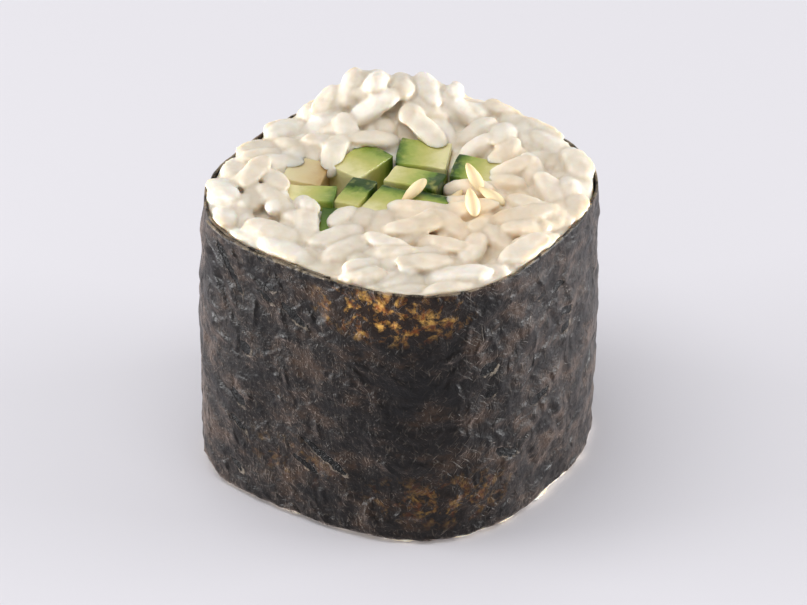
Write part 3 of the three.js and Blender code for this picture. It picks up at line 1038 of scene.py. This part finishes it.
def matted_fibres(tree, bent, mottle):
    """Fibres that lie every way: stretched noise in three directions, of which only the peaks show."""
    fibres = None
    for slant in (38, -52, 84):
        along = add_node(
            tree,
            "ShaderNodeMapping",
            {"Vector": bent, "Rotation": (0.3, math.radians(slant), 0.4), "Scale": (9.0, 1.5, 1.0)},
            vector_type="TEXTURE",
        ).outputs["Vector"]
        strand = add_node(
            tree, "ShaderNodeTexNoise", {"Vector": along, "Scale": 1 / (0.2 * MM), "Detail": 1.0}
        ).outputs["Fac"]
        strokes = add_node(
            tree, "ShaderNodeMapRange", {"Value": strand, "From Min": 0.64, "From Max": 0.8}
        ).outputs["Result"]
        if fibres is not None:
            both = {0: fibres, 1: strokes}
            strokes = add_node(tree, "ShaderNodeMath", both, operation="MAXIMUM").outputs["Value"]
        fibres = strokes
    shown = add_node(
        tree, "ShaderNodeMapRange", {"Value": mottle, "From Min": 0.4, "From Max": 0.6, "To Min": 0.25}
    ).outputs["Result"]
    both = {0: fibres, 1: shown}
    return add_node(tree, "ShaderNodeMath", both, operation="MULTIPLY").outputs["Value"]


def thinness(tree, coords):
    """How thin the sheet is at each point, from 0 to 1."""
    thin = None
    for x, z, strength in THIN_PLACES:
        flat = (x * MM * THIN_STRETCH, FRONT_WALL_Y * MM * THIN_STRETCH, z * MM)
        stretched = add_node(
            tree, "ShaderNodeMapping", {"Vector": coords, "Scale": (THIN_STRETCH, THIN_STRETCH, 1.0)}
        ).outputs["Vector"]
        far = add_node(
            tree, "ShaderNodeVectorMath", {0: stretched, 1: flat}, operation="DISTANCE"
        ).outputs["Value"]
        place = add_node(
            tree,
            "ShaderNodeMapRange",
            {"Value": far, "From Min": 1.2 * MM, "From Max": 4.0 * MM, "To Min": strength, "To Max": 0.0},
        ).outputs["Result"]
        if thin is not None:
            both = {0: thin, 1: place}
            place = add_node(tree, "ShaderNodeMath", both, operation="MAXIMUM").outputs["Value"]
        thin = place
    return thin


def slits_and_lips(tree, grain):
    """Where the slits are, open where their attribute is low, and their lower lips, which stand out, catch
    the light and carry a painted highlight."""
    masks = []
    for name in ("slit", "lip"):
        distance = add_node(tree, "ShaderNodeAttribute", attribute_name=name).outputs["Fac"]
        ragged = add_node(
            tree, "ShaderNodeMath", {0: grain, 1: 0.9, 2: distance}, operation="MULTIPLY_ADD"
        ).outputs["Value"]
        mask = {"Value": ragged, "From Min": 0.56, "From Max": 0.66, "To Min": 1.0, "To Max": 0.0}
        masks.append(add_node(tree, "ShaderNodeMapRange", mask).outputs["Result"])
    return masks


def nori_material(settings):
    """Roasted nori, laver pulp dried on a mat and pressed to a sheet. Matted fibres and pinholes give
    it a broken sheen, and where it is thinnest the rice shows through golden brown."""
    material, tree, coords = start_material("Roasted nori")
    # The pulp: mottled some millimetres across, drawn out along the sheet, and grainy.
    drawn_out = add_node(
        tree, "ShaderNodeVectorMath", {0: coords, 1: (1.0, 1.0, 1.7)}, operation="MULTIPLY"
    ).outputs["Vector"]
    mottle = add_node(
        tree,
        "ShaderNodeTexNoise",
        {"Vector": drawn_out, "Scale": 1 / (4.6 * MM), "Detail": 6.0, "Roughness": 0.68},
    ).outputs["Fac"]
    colour = add_node(
        tree,
        "ShaderNodeValToRGB",
        {"Fac": mottle},
        stops=((0.38, settings.dark), (0.52, settings.middle), (0.72, settings.brown)),
    ).outputs["Color"]
    grain = add_node(
        tree,
        "ShaderNodeTexNoise",
        {"Vector": coords, "Scale": 1 / (0.8 * MM), "Detail": 4.0, "Roughness": 0.6},
    ).outputs["Fac"]
    warp = add_node(
        tree, "ShaderNodeTexNoise", {"Vector": coords, "Scale": 1 / (2.2 * MM), "Detail": 2.0}
    ).outputs["Color"]
    warped = add_node(
        tree,
        "ShaderNodeVectorMath",
        {0: warp, 1: (2.0 * MM, 2.0 * MM, 2.0 * MM), 2: coords},
        operation="MULTIPLY_ADD",
    ).outputs["Vector"]
    bent = add_node(
        tree,
        "ShaderNodeVectorMath",
        {0: warp, 1: (0.8 * MM, 0.8 * MM, 0.8 * MM), 2: coords},
        operation="MULTIPLY_ADD",
    ).outputs["Vector"]
    fibres = matted_fibres(tree, bent, mottle)
    pale = add_node(tree, "ShaderNodeMath", {0: fibres, 1: 0.22}, operation="MULTIPLY").outputs["Value"]
    colour = add_node(
        tree, "ShaderNodeMix", {0: pale, MIX_A: colour, MIX_B: settings.fibre_and_lip_highlight}, data_type="RGBA"
    ).outputs[MIX_RESULT]
    # Where the sheet is thin the rice behind it shows, in clumps and flecks.
    clump = add_node(
        tree,
        "ShaderNodeTexNoise",
        {"Vector": warped, "Scale": 1 / (1.4 * MM), "Detail": 5.0, "Roughness": 0.66},
    ).outputs["Fac"]
    thin = thinness(tree, coords)
    stained = add_node(tree, "ShaderNodeMath", {0: thin, 1: 0.6}, operation="MULTIPLY").outputs["Value"]
    colour = add_node(
        tree, "ShaderNodeMix", {0: stained, MIX_A: colour, MIX_B: settings.stain}, data_type="RGBA"
    ).outputs[MIX_RESULT]
    clumps = add_node(
        tree, "ShaderNodeMapRange", {"Value": clump, "From Min": 0.5, "From Max": 0.62}
    ).outputs["Result"]
    shining = add_node(
        tree, "ShaderNodeMath", {0: thin, 1: clumps}, operation="MULTIPLY", use_clamp=True
    ).outputs["Value"]
    glints = add_node(
        tree, "ShaderNodeMapRange", {"Value": grain, "From Min": 0.4, "From Max": 0.66}
    ).outputs["Result"]
    gold = add_node(
        tree, "ShaderNodeMix", {0: glints, MIX_A: settings.amber, MIX_B: settings.gold}, data_type="RGBA"
    ).outputs[MIX_RESULT]
    colour = add_node(
        tree, "ShaderNodeMix", {0: shining, MIX_A: colour, MIX_B: gold}, data_type="RGBA"
    ).outputs[MIX_RESULT]
    # Pinholes and ragged pits, in about one cell in four, painted near-black as the shade inside them.
    cells = add_node(tree, "ShaderNodeTexVoronoi", {"Vector": warped, "Scale": 1 / (3.2 * MM)})
    chosen = add_node(
        tree, "ShaderNodeMath", {0: cells.outputs["Color"], 1: 0.7}, operation="GREATER_THAN"
    ).outputs["Value"]
    ragged = add_node(
        tree, "ShaderNodeMath", {0: clump, 1: 0.55, 2: -0.19}, operation="MULTIPLY_ADD"
    ).outputs["Value"]
    inside = add_node(
        tree, "ShaderNodeMath", {0: cells.outputs["Distance"], 1: ragged}, operation="LESS_THAN"
    ).outputs["Value"]
    pits = add_node(tree, "ShaderNodeMath", {0: inside, 1: chosen}, operation="MULTIPLY").outputs["Value"]
    slits, lips = slits_and_lips(tree, grain)
    pits = add_node(tree, "ShaderNodeMath", {0: pits, 1: slits}, operation="MAXIMUM").outputs["Value"]
    patchy = add_node(
        tree, "ShaderNodeMapRange", {"Value": clump, "From Min": 0.46, "From Max": 0.58, "To Max": 0.5}
    ).outputs["Result"]
    lips = add_node(tree, "ShaderNodeMath", {0: lips, 1: patchy}, operation="MULTIPLY").outputs["Value"]
    # Painted highlight: the lower lips of the slits are painted in the pale fibre colour, in patches.
    colour = add_node(
        tree, "ShaderNodeMix", {0: lips, MIX_A: colour, MIX_B: settings.fibre_and_lip_highlight}, data_type="RGBA"
    ).outputs[MIX_RESULT]
    # Painted shade: pits and slits are painted near-black.
    colour = add_node(
        tree, "ShaderNodeMix", {0: pits, MIX_A: colour, MIX_B: linear(PIT_SHADE_COLOUR)}, data_type="RGBA"
    ).outputs[MIX_RESULT]
    # Starch dries pale on the cut edges.
    height = add_node(tree, "ShaderNodeSeparateXYZ", {"Vector": coords}).outputs["Z"]
    from_edge = add_node(
        tree, "ShaderNodeMath", {0: grain, 1: 0.35 * MM, 2: height}, operation="MULTIPLY_ADD"
    ).outputs["Value"]
    starched = add_node(
        tree,
        "ShaderNodeMapRange",
        {
            "Value": from_edge,
            "From Min": (BAND_TOP - 0.05) * MM,
            "From Max": (BAND_TOP + 0.1) * MM,
            "To Max": 0.25,
        },
    ).outputs["Result"]
    smears = add_node(
        tree, "ShaderNodeMapRange", {"Value": clump, "From Min": 0.42, "From Max": 0.55}
    ).outputs["Result"]
    starched = add_node(
        tree, "ShaderNodeMath", {0: starched, 1: smears}, operation="MULTIPLY"
    ).outputs["Value"]
    colour = add_node(
        tree, "ShaderNodeMix", {0: starched, MIX_A: colour, MIX_B: settings.starch}, data_type="RGBA"
    ).outputs[MIX_RESULT]
    rough = add_node(
        tree,
        "ShaderNodeMapRange",
        {"Value": mottle, "From Min": 0.3, "From Max": 0.7, "To Min": 0.3, "To Max": 0.5},
    ).outputs["Result"]
    # Matted fibres dull the sheet in patches, and nothing shines inside a pit.
    matted = add_node(
        tree,
        "ShaderNodeMapRange",
        {"Value": mottle, "From Min": 0.42, "From Max": 0.62, "To Min": 0.1, "To Max": 0.9},
    ).outputs["Result"]
    whole = add_node(tree, "ShaderNodeMath", {0: 1.0, 1: pits}, operation="SUBTRACT").outputs["Value"]
    sheen = add_node(tree, "ShaderNodeMath", {0: matted, 1: whole}, operation="MULTIPLY").outputs["Value"]
    # Relief: wrinkles, pulp and fibres stand out, and pits go in.
    wrinkle = add_node(
        tree,
        "ShaderNodeTexNoise",
        {"Vector": coords, "Scale": 1 / (2.4 * MM), "Detail": 3.0, "Distortion": 0.8},
        noise_type="RIDGED_MULTIFRACTAL",
    ).outputs["Fac"]
    wrinkled = add_node(
        tree, "ShaderNodeBump", {"Height": wrinkle, "Strength": 1.0, "Distance": 0.6 * MM}
    ).outputs["Normal"]
    relief = add_node(
        tree, "ShaderNodeMath", {0: fibres, 1: 0.5, 2: grain}, operation="MULTIPLY_ADD"
    ).outputs["Value"]
    relief = add_node(tree, "ShaderNodeMath", {0: relief, 1: lips}, operation="ADD").outputs["Value"]
    relief = add_node(tree, "ShaderNodeMath", {0: relief, 1: pits}, operation="SUBTRACT").outputs["Value"]
    bump = add_node(
        tree,
        "ShaderNodeBump",
        {"Height": relief, "Strength": 1.0, "Distance": 0.2 * MM, "Normal": wrinkled},
    ).outputs["Normal"]
    return end_material(
        material,
        tree,
        {
            "Base Color": colour,
            "Roughness": rough,
            "Normal": bump,
            "IOR": 1.34,
            "Sheen Weight": sheen,
            "Sheen Roughness": 0.35,
            "Sheen Tint": linear(SHEEN_COLOUR),
        },
    )


class MAKI_OT_nori(bpy.types.Operator):
    """Makes the nori wrap: one sheet rolled round the rice, with its free edge over its inner end"""

    bl_idname = "maki.nori"
    bl_label = "Nori wrap"

    def execute(self, context):
        settings = context.scene.maki_nori
        thickness = settings.thickness / MM
        fineness = settings.fineness / MM
        lift = settings.lift / MM
        sweep = 2 * math.pi + OVERLAP
        columns = round(sweep * ROLL_RADIUS / fineness)
        rows = round(BAND_HEIGHT / fineness)
        bpy.ops.object.select_all(action="DESELECT")
        bpy.ops.mesh.primitive_grid_add(x_subdivisions=columns, y_subdivisions=rows, size=2)
        sheet = bpy.context.object

        def place(x, y, _):
            rolled = (x + 1) / 2 * sweep
            angle = FREE_EDGE + sweep - rolled
            share = (y + 1) / 2
            ragged = 0.16 * noise.fractal(Vector((rolled * 9, share * 0.5, 3.7)), 0.8, 2.0, 3)
            z = BAND_FOOT + BAND_HEIGHT * share + ragged * abs(2 * share - 1) ** 6
            layer = smoothstep(rolled, 2 * math.pi - OVERLAP_FADE, 2 * math.pi)
            radius = wall_radius(angle, z) - thickness / 2 - 0.03 + layer * NORI_THICKNESS
            from_edge = (sweep - rolled) * ROLL_RADIUS
            loose = 1 - smoothstep(from_edge, 0, 5.0)
            radius += lift * loose * (1 - smoothstep(z, 2.0, 10.0)) + 0.12 * loose
            z += 1.6 * (1 - smoothstep(from_edge, 0, 3.5)) * (1 - share) ** 6
            radius += crumple(angle, z) * (1 - 0.3 * layer)
            mx, my = wall_middle(z)
            return mx + radius * math.cos(angle), my + radius * math.sin(angle), z

        reshape(sheet, place)
        apply_modifier(sheet, "SOLIDIFY", thickness=thickness, offset=0.0)
        select_only(sheet)
        bpy.ops.object.mode_set(mode="EDIT")
        bpy.ops.mesh.select_all(action="SELECT")
        bpy.ops.mesh.normals_make_consistent(inside=False)
        bpy.ops.object.mode_set(mode="OBJECT")
        points = positions(sheet)
        set_attribute(sheet, "slit", distance_to_slits(points))
        set_attribute(sheet, "lip", distance_to_slits(points + LIP_OFFSET))
        settle(sheet, "nori_sheet", ["nori_wrap"], "nori", nori_material(settings))
        return {"FINISHED"}


# ---------- Cucumber ----------


class MakiCucumberSettings(bpy.types.PropertyGroup):
    rounding: bpy.props.FloatProperty(
        name="Rounding",
        description="Radius of the cut edges",
        default=0.14 * MM,
        unit="LENGTH",
        precision=5,
    )
    cuts: bpy.props.IntProperty(
        name="Cuts", description="How finely each baton is divided", default=17, min=4
    )
    pale: bpy.props.FloatVectorProperty(
        name="Pale", description="Flesh at the seeds", subtype="COLOR", size=4, default=linear("ece4ac")
    )
    flesh: bpy.props.FloatVectorProperty(
        name="Flesh", description="Flesh", subtype="COLOR", size=4, default=linear("c8c571")
    )
    mid: bpy.props.FloatVectorProperty(
        name="Mid", description="Firmer flesh", subtype="COLOR", size=4, default=linear("a3b152")
    )
    green: bpy.props.FloatVectorProperty(
        name="Green", description="Flesh under the peel", subtype="COLOR", size=4, default=linear("638128")
    )
    peel: bpy.props.FloatVectorProperty(
        name="Peel", description="Peel", subtype="COLOR", size=4, default=linear("2f4a12")
    )


def cucumber_material(name, stops):
    """Fresh-cut cucumber. Wet translucent flesh shades from pale at the seeds to green at the peel,
    and the cut shows fine veins and a glossy film of juice."""
    material, tree, coords = start_material(name)
    peelward = add_node(tree, "ShaderNodeAttribute", attribute_name="peelward").outputs["Fac"]
    # Veins and cells shift the shades by a fraction of a millimetre.
    veins = add_node(
        tree,
        "ShaderNodeTexNoise",
        {"Vector": coords, "Scale": 1 / (0.9 * MM), "Detail": 4.0, "Roughness": 0.6},
    ).outputs["Fac"]
    shift = add_node(
        tree, "ShaderNodeMath", {0: veins, 1: 0.3, 2: -0.15}, operation="MULTIPLY_ADD"
    ).outputs["Value"]
    shifted = add_node(tree, "ShaderNodeMath", {0: peelward, 1: shift}, operation="ADD").outputs["Value"]
    colour = add_node(tree, "ShaderNodeValToRGB", {"Fac": shifted}, stops=stops).outputs["Color"]
    # Painted highlight: patches over the cut are mixed towards the second shade, which on the flesh is pale.
    painted_highlight_patches = add_node(
        tree, "ShaderNodeTexNoise", {"Vector": coords, "Scale": 1 / (1.5 * MM), "Detail": 3.0}
    ).outputs["Fac"]
    painted_highlight_patches = add_node(
        tree, "ShaderNodeMapRange", {"Value": painted_highlight_patches, "From Min": 0.54, "From Max": 0.72, "To Max": 0.5}
    ).outputs["Result"]
    colour = add_node(
        tree, "ShaderNodeMix", {0: painted_highlight_patches, MIX_A: colour, MIX_B: stops[1][1]}, data_type="RGBA"
    ).outputs[MIX_RESULT]
    cut = add_node(
        tree, "ShaderNodeTexNoise", {"Vector": coords, "Scale": 1 / (0.35 * MM), "Detail": 3.0}
    ).outputs["Fac"]
    bump = add_node(
        tree, "ShaderNodeBump", {"Height": cut, "Strength": 0.25, "Distance": 0.1 * MM}
    ).outputs["Normal"]
    return end_material(
        material,
        tree,
        {
            "Base Color": colour,
            "Roughness": 0.28,
            "Normal": bump,
            "IOR": 1.36,
            "Subsurface Weight": 0.35,
            "Subsurface Radius": (0.8, 1.0, 0.35),
            "Subsurface Scale": 0.9 * MM,
            "Coat Weight": 0.3,
            "Coat Roughness": 0.12,
        },
    )


# Shades from the seeds to the peel: of the beige baton, which was cut at the core, and of the shred.
CORE_SHADES = ((0.0, "c49f68"), (0.4, "dcc798"), (1.0, "e2d7ac"))
PEEL_SHADES = ((0.0, "8fa845"), (0.4, "5f7f22"), (1.0, "33500f"))


def model_baton(settings, baton):
    """A baton: a finely divided block, its edges rounded, its peel side arched, its cut end uneven."""
    name, bx, by, deep, wide, peel, top, foot = baton
    deep += 2 * BATON_GROWTH
    wide += 2 * BATON_GROWTH
    rounding = min(settings.rounding / MM, wide * 0.3)
    bpy.ops.object.select_all(action="DESELECT")
    bpy.ops.mesh.primitive_cube_add(size=2)
    block = bpy.context.object
    bpy.ops.object.mode_set(mode="EDIT")
    bpy.ops.mesh.select_all(action="SELECT")
    bpy.ops.mesh.subdivide(number_cuts=settings.cuts)
    bpy.ops.object.mode_set(mode="OBJECT")
    peelward = [(math.sin(v.co.x * math.pi / 2) + 1) / 2 for v in block.data.vertices]
    low, high = foot, BATON_TOP + top
    half = Vector((deep / 2, wide / 2, (high - low) / 2))
    turn = math.radians(peel)
    seed = sum(ord(letter) for letter in name)

    def place(x, y, z):
        # Rows crowd towards the edges, which leaves enough of them to round each edge.
        spread = Vector((math.sin(c * math.pi / 2) * h for c, h in zip((x, y, z), half)))
        inner = Vector((max(min(c, h - rounding), rounding - h) for c, h in zip(spread, half)))
        out = spread - inner
        if out.length > 1e-9:
            spread = inner + out.normalized() * max(abs(c) for c in out)
        arch = math.sqrt(CUCUMBER_RADIUS**2 - spread.y**2) - CUCUMBER_RADIUS
        sx = spread.x + arch * (x + 1) / 2
        wave = noise.noise(Vector((sx / 1.6 + seed, spread.y / 1.6, 0.3)))
        lift = 0.11 * wave + 0.05 * sx - 0.03 * spread.y if z > 0 else 0.0
        side = 0.05 * noise.noise(Vector((spread.z / 2.5, sx + seed, spread.y)))
        px = bx + sx * math.cos(turn) - spread.y * (1 + side) * math.sin(turn)
        py = by + sx * math.sin(turn) + spread.y * (1 + side) * math.cos(turn)
        height = (low + high) / 2 + spread.z + lift * max(z, 0) ** 4
        return bundle_point(px, py, height)

    reshape(block, place)
    set_attribute(block, "peelward", np.array(peelward) + GREENER.get(name, 0.0))
    return block


class MAKI_OT_cucumber(bpy.types.Operator):
    """Makes the cucumber batons of the filling, each round the node that it stands for"""

    bl_idname = "maki.cucumber"
    bl_label = "Cucumber batons"

    def execute(self, context):
        s = context.scene.maki_cucumber
        flesh = cucumber_material(
            "Cut cucumber", ((0.08, s.pale), (0.42, s.flesh), (0.7, s.mid), (0.88, s.green), (0.97, s.peel))
        )
        core, peel = (
            cucumber_material(name, [(place, linear(code)) for place, code in shades])
            for name, shades in (("Cucumber core", CORE_SHADES), ("Cucumber peel", PEEL_SHADES))
        )
        own = {
            "cucumber_core_baton": ("cucumber_core", core),
            "cucumber_peel_shred": ("cucumber_peel", peel),
        }
        for baton in BATONS:
            node = baton[0]
            slot, material = own.get(node, ("cucumber", flesh))
            settle(model_baton(s, baton), node + "_cut", [node], slot, material)
        return {"FINISHED"}


# ---------- Sesame ----------


class MakiSesameSettings(bpy.types.PropertyGroup):
    length: bpy.props.FloatProperty(
        name="Length", description="Length of a seed", default=3.8 * MM, unit="LENGTH", precision=5
    )
    width: bpy.props.FloatProperty(
        name="Width", description="Width of a seed", default=1.5 * MM, unit="LENGTH", precision=5
    )
    thick: bpy.props.FloatProperty(
        name="Thickness", description="Thickness of a seed", default=1.1 * MM, unit="LENGTH", precision=5
    )
    hull: bpy.props.FloatVectorProperty(
        name="Hull", description="The seed's hull", subtype="COLOR", size=4, default=linear("f4dfb4")
    )
    tip: bpy.props.FloatVectorProperty(
        name="Tip", description="The seed's tip", subtype="COLOR", size=4, default=linear("dfbd88")
    )


def sesame_material(settings):
    """Toasted white sesame. A dry satin hull, paler along its middle and tan at its tip."""
    material, tree, coords = start_material("Toasted sesame")
    tipward = add_node(tree, "ShaderNodeAttribute", attribute_name="tipward").outputs["Fac"]
    speckle = add_node(
        tree, "ShaderNodeTexNoise", {"Vector": coords, "Scale": 1 / (0.6 * MM), "Detail": 3.0}
    ).outputs["Fac"]
    mixed = add_node(
        tree, "ShaderNodeMath", {0: tipward, 1: speckle}, operation="MULTIPLY"
    ).outputs["Value"]
    colour = add_node(
        tree, "ShaderNodeMix", {0: mixed, MIX_A: settings.hull, MIX_B: settings.tip}, data_type="RGBA"
    ).outputs[MIX_RESULT]
    bump = add_node(
        tree, "ShaderNodeBump", {"Height": speckle, "Strength": 0.3, "Distance": 0.06 * MM}
    ).outputs["Normal"]
    return end_material(
        material,
        tree,
        {
            "Base Color": colour,
            "Roughness": 0.42,
            "Normal": bump,
            "Subsurface Weight": 0.35,
            "Subsurface Radius": (1.0, 0.7, 0.4),
            "Subsurface Scale": 0.6 * MM,
        },
    )


def model_seeds(settings, poses, name):
    """Sesame seeds: a flattened drop, modelled once and copied to each pose."""
    seed = lying_ball(18, 14)
    size = [v / MM / 2 for v in (settings.length, settings.width, settings.thick)]

    def drop(x, y, z):
        waist = 1 - 0.3 * smoothstep(x, -0.4, 1.1)
        rim = 1 + 0.1 * math.exp(-((z / 0.25) ** 2))
        return x * size[0], y * waist * rim * size[1], z * waist * size[2]

    reshape(seed, drop)
    tipward = [smoothstep(v.co.x, 0, size[0]) for v in seed.data.vertices]
    seeds = copies_of(seed, poses, name)
    set_attribute(seeds, "tipward", tipward * len(poses))
    discard(seed)
    return seeds


def seed_pose(x, y, turn, dip, surface):
    """The matrix that lays a seed on a surface."""
    spin = Matrix.Rotation(math.radians(turn), 4, "Z") @ Matrix.Rotation(math.radians(dip), 4, "Y")
    return Matrix.Translation((x, y, surface + SEED_RISE)) @ spin


class MAKI_OT_sesame(bpy.types.Operator):
    """Makes the sesame seeds: one on the batons and a small heap on the rice"""

    bl_idname = "maki.sesame"
    bl_label = "Sesame seeds"

    def execute(self, context):
        settings = context.scene.maki_sesame
        material = sesame_material(settings)
        _, heap, cell = poured_top()
        poses = []
        for x, y, turn, dip in SEEDS_ON_RICE:
            surface = min(heap[cell(x, y)], RICE_LEVEL + HEAP_RISE)
            poses.append(seed_pose(x, y, turn, dip, surface))
        heaped = model_seeds(settings, poses, "seeds")
        settle(heaped, "sesame_on_rice", ["rice"], "rice", material)
        top = next(baton[-2] for baton in BATONS if baton[0] == SEEDED_BATON)
        single = model_seeds(settings, [seed_pose(*SEED_ON_BATON, BATON_TOP + top)], "seed")
        settle(single, "sesame_on_baton", [SEEDED_BATON], "cucumber", material)
        return {"FINISHED"}


# ---------- Stage ----------


class MakiStageSettings(bpy.types.PropertyGroup):
    elevation: bpy.props.FloatProperty(
        name="Elevation",
        description="How steeply the camera looks down",
        default=math.radians(32.5),
        subtype="ANGLE",
    )
    aim: bpy.props.FloatProperty(
        name="Aim", description="Height that the camera looks at", default=17.2 * MM, unit="LENGTH"
    )
    distance: bpy.props.FloatProperty(
        name="Distance", description="From the camera to the piece", default=1.0, unit="LENGTH"
    )
    lens: bpy.props.FloatProperty(
        name="Lens", description="The camera's focal length", default=415.0, unit="CAMERA", subtype="NONE"
    )
    floor: bpy.props.FloatVectorProperty(
        name="Floor", description="The pale table", subtype="COLOR", size=4, default=linear("e1dfe5")
    )
    key: bpy.props.FloatProperty(
        name="Key light", description="Power of the overhead softbox", default=2.6, unit="POWER"
    )
    side: bpy.props.FloatProperty(
        name="Side lights", description="Power of each softbox at the sides", default=4.5, unit="POWER"
    )
    surround: bpy.props.FloatProperty(
        name="Surround", description="Strength of the white surroundings", default=0.56
    )


# The softboxes, in metres: a name, the middle, the width and height, and the setting with its power.
SOFTBOXES = (
    ("key softbox", (-0.12, -0.08, 0.7), (0.7, 0.6), "key"),
    ("left softbox", (-0.55, 0.0, 0.05), (0.35, 0.08), "side"),
    ("right softbox", (0.55, 0.02, 0.05), (0.35, 0.08), "side"),
)
LIT_POINT = (0, 0, 0.015)


def add_softbox(name, place, size, power):
    """A rectangular light that faces the piece."""
    bpy.ops.object.light_add(type="AREA", location=place)
    light = bpy.context.object
    light.name = name
    light.data.shape = "RECTANGLE"
    light.data.size, light.data.size_y = size
    light.data.energy = power
    light.rotation_euler = (Vector(LIT_POINT) - Vector(place)).to_track_quat("-Z", "Y").to_euler()


class MAKI_OT_stage(bpy.types.Operator):
    """Makes the pale floor, the soft studio light and the camera"""

    bl_idname = "maki.stage"
    bl_label = "Stage"

    def execute(self, context):
        s = context.scene.maki_stage
        bpy.ops.object.select_all(action="DESELECT")
        bpy.ops.mesh.primitive_plane_add(size=4, location=(0, 0, 0))
        floor = bpy.context.object
        floor.name = "floor"
        material, tree, coords = start_material("Matt laminate")
        # A faint unevenness, a few centimetres across, keeps the table from looking drawn.
        uneven = add_node(
            tree, "ShaderNodeTexNoise", {"Vector": coords, "Scale": 1 / 0.05, "Detail": 2.0}
        ).outputs["Fac"]
        rough = add_node(
            tree, "ShaderNodeMapRange", {"Value": uneven, "To Min": 0.75, "To Max": 0.85}
        ).outputs["Result"]
        floor.data.materials.append(
            end_material(material, tree, {"Base Color": s.floor, "Roughness": rough, "IOR": 1.3})
        )

        for name, place, size, power in SOFTBOXES:
            add_softbox(name, place, size, getattr(s, power))

        world = bpy.data.worlds.new("white surroundings")
        context.scene.world = world
        world.use_nodes = True
        # White surroundings, darker towards the front, which leaves the front of the nori dark.
        tree = world.node_tree
        tree.nodes.clear()
        coords = add_node(tree, "ShaderNodeTexCoord").outputs["Generated"]
        backward = add_node(tree, "ShaderNodeSeparateXYZ", {"Vector": coords}).outputs["Y"]
        strength = add_node(
            tree,
            "ShaderNodeMapRange",
            {"Value": backward, "From Min": -0.9, "To Min": 0.65 * s.surround, "To Max": s.surround},
        ).outputs["Result"]
        shader = add_node(
            tree, "ShaderNodeBackground", {"Color": linear("ffffff"), "Strength": strength}
        ).outputs["Background"]
        add_node(tree, "ShaderNodeOutputWorld", {"Surface": shader})
        context.scene.view_settings.view_transform = "Standard"

        aim = Vector((BOX_MIDDLE[0] * MM, 0, s.aim))
        back = Vector((0, -math.cos(s.elevation), math.sin(s.elevation)))
        bpy.ops.object.camera_add(location=aim + back * s.distance)
        camera = bpy.context.object
        camera.rotation_euler = (-back).to_track_quat("-Z", "Y").to_euler()
        camera.data.lens = s.lens
        camera.data.clip_end = 20
        context.scene.camera = camera
        return {"FINISHED"}


# ---------- Add-on ----------


class MAKI_PT_panel(bpy.types.Panel):
    """Lists the pieces of the roll"""

    bl_label = "Maki roll"
    bl_idname = "MAKI_PT_panel"
    bl_space_type = "VIEW_3D"
    bl_region_type = "UI"
    bl_category = "Maki roll"

    def draw(self, context):
        for operator in OPERATORS:
            self.layout.operator(operator.bl_idname)


SETTINGS = {
    "maki_rice": MakiRiceSettings,
    "maki_nori": MakiNoriSettings,
    "maki_cucumber": MakiCucumberSettings,
    "maki_sesame": MakiSesameSettings,
    "maki_stage": MakiStageSettings,
}
OPERATORS = (MAKI_OT_stage, MAKI_OT_nori, MAKI_OT_rice, MAKI_OT_cucumber, MAKI_OT_sesame)


def register():
    for cls in (*SETTINGS.values(), *OPERATORS, MAKI_PT_panel):
        bpy.utils.register_class(cls)
    for name, cls in SETTINGS.items():
        setattr(bpy.types.Scene, name, bpy.props.PointerProperty(type=cls))


def unregister():
    for name in SETTINGS:
        delattr(bpy.types.Scene, name)
    for cls in (MAKI_PT_panel, *reversed(OPERATORS), *reversed(SETTINGS.values())):
        bpy.utils.unregister_class(cls)


def main():
    register()
    bpy.ops.maki.stage()
    bpy.ops.maki.nori()
    bpy.ops.maki.rice()
    bpy.ops.maki.cucumber()
    bpy.ops.maki.sesame()


if __name__ == "__main__":
    main()
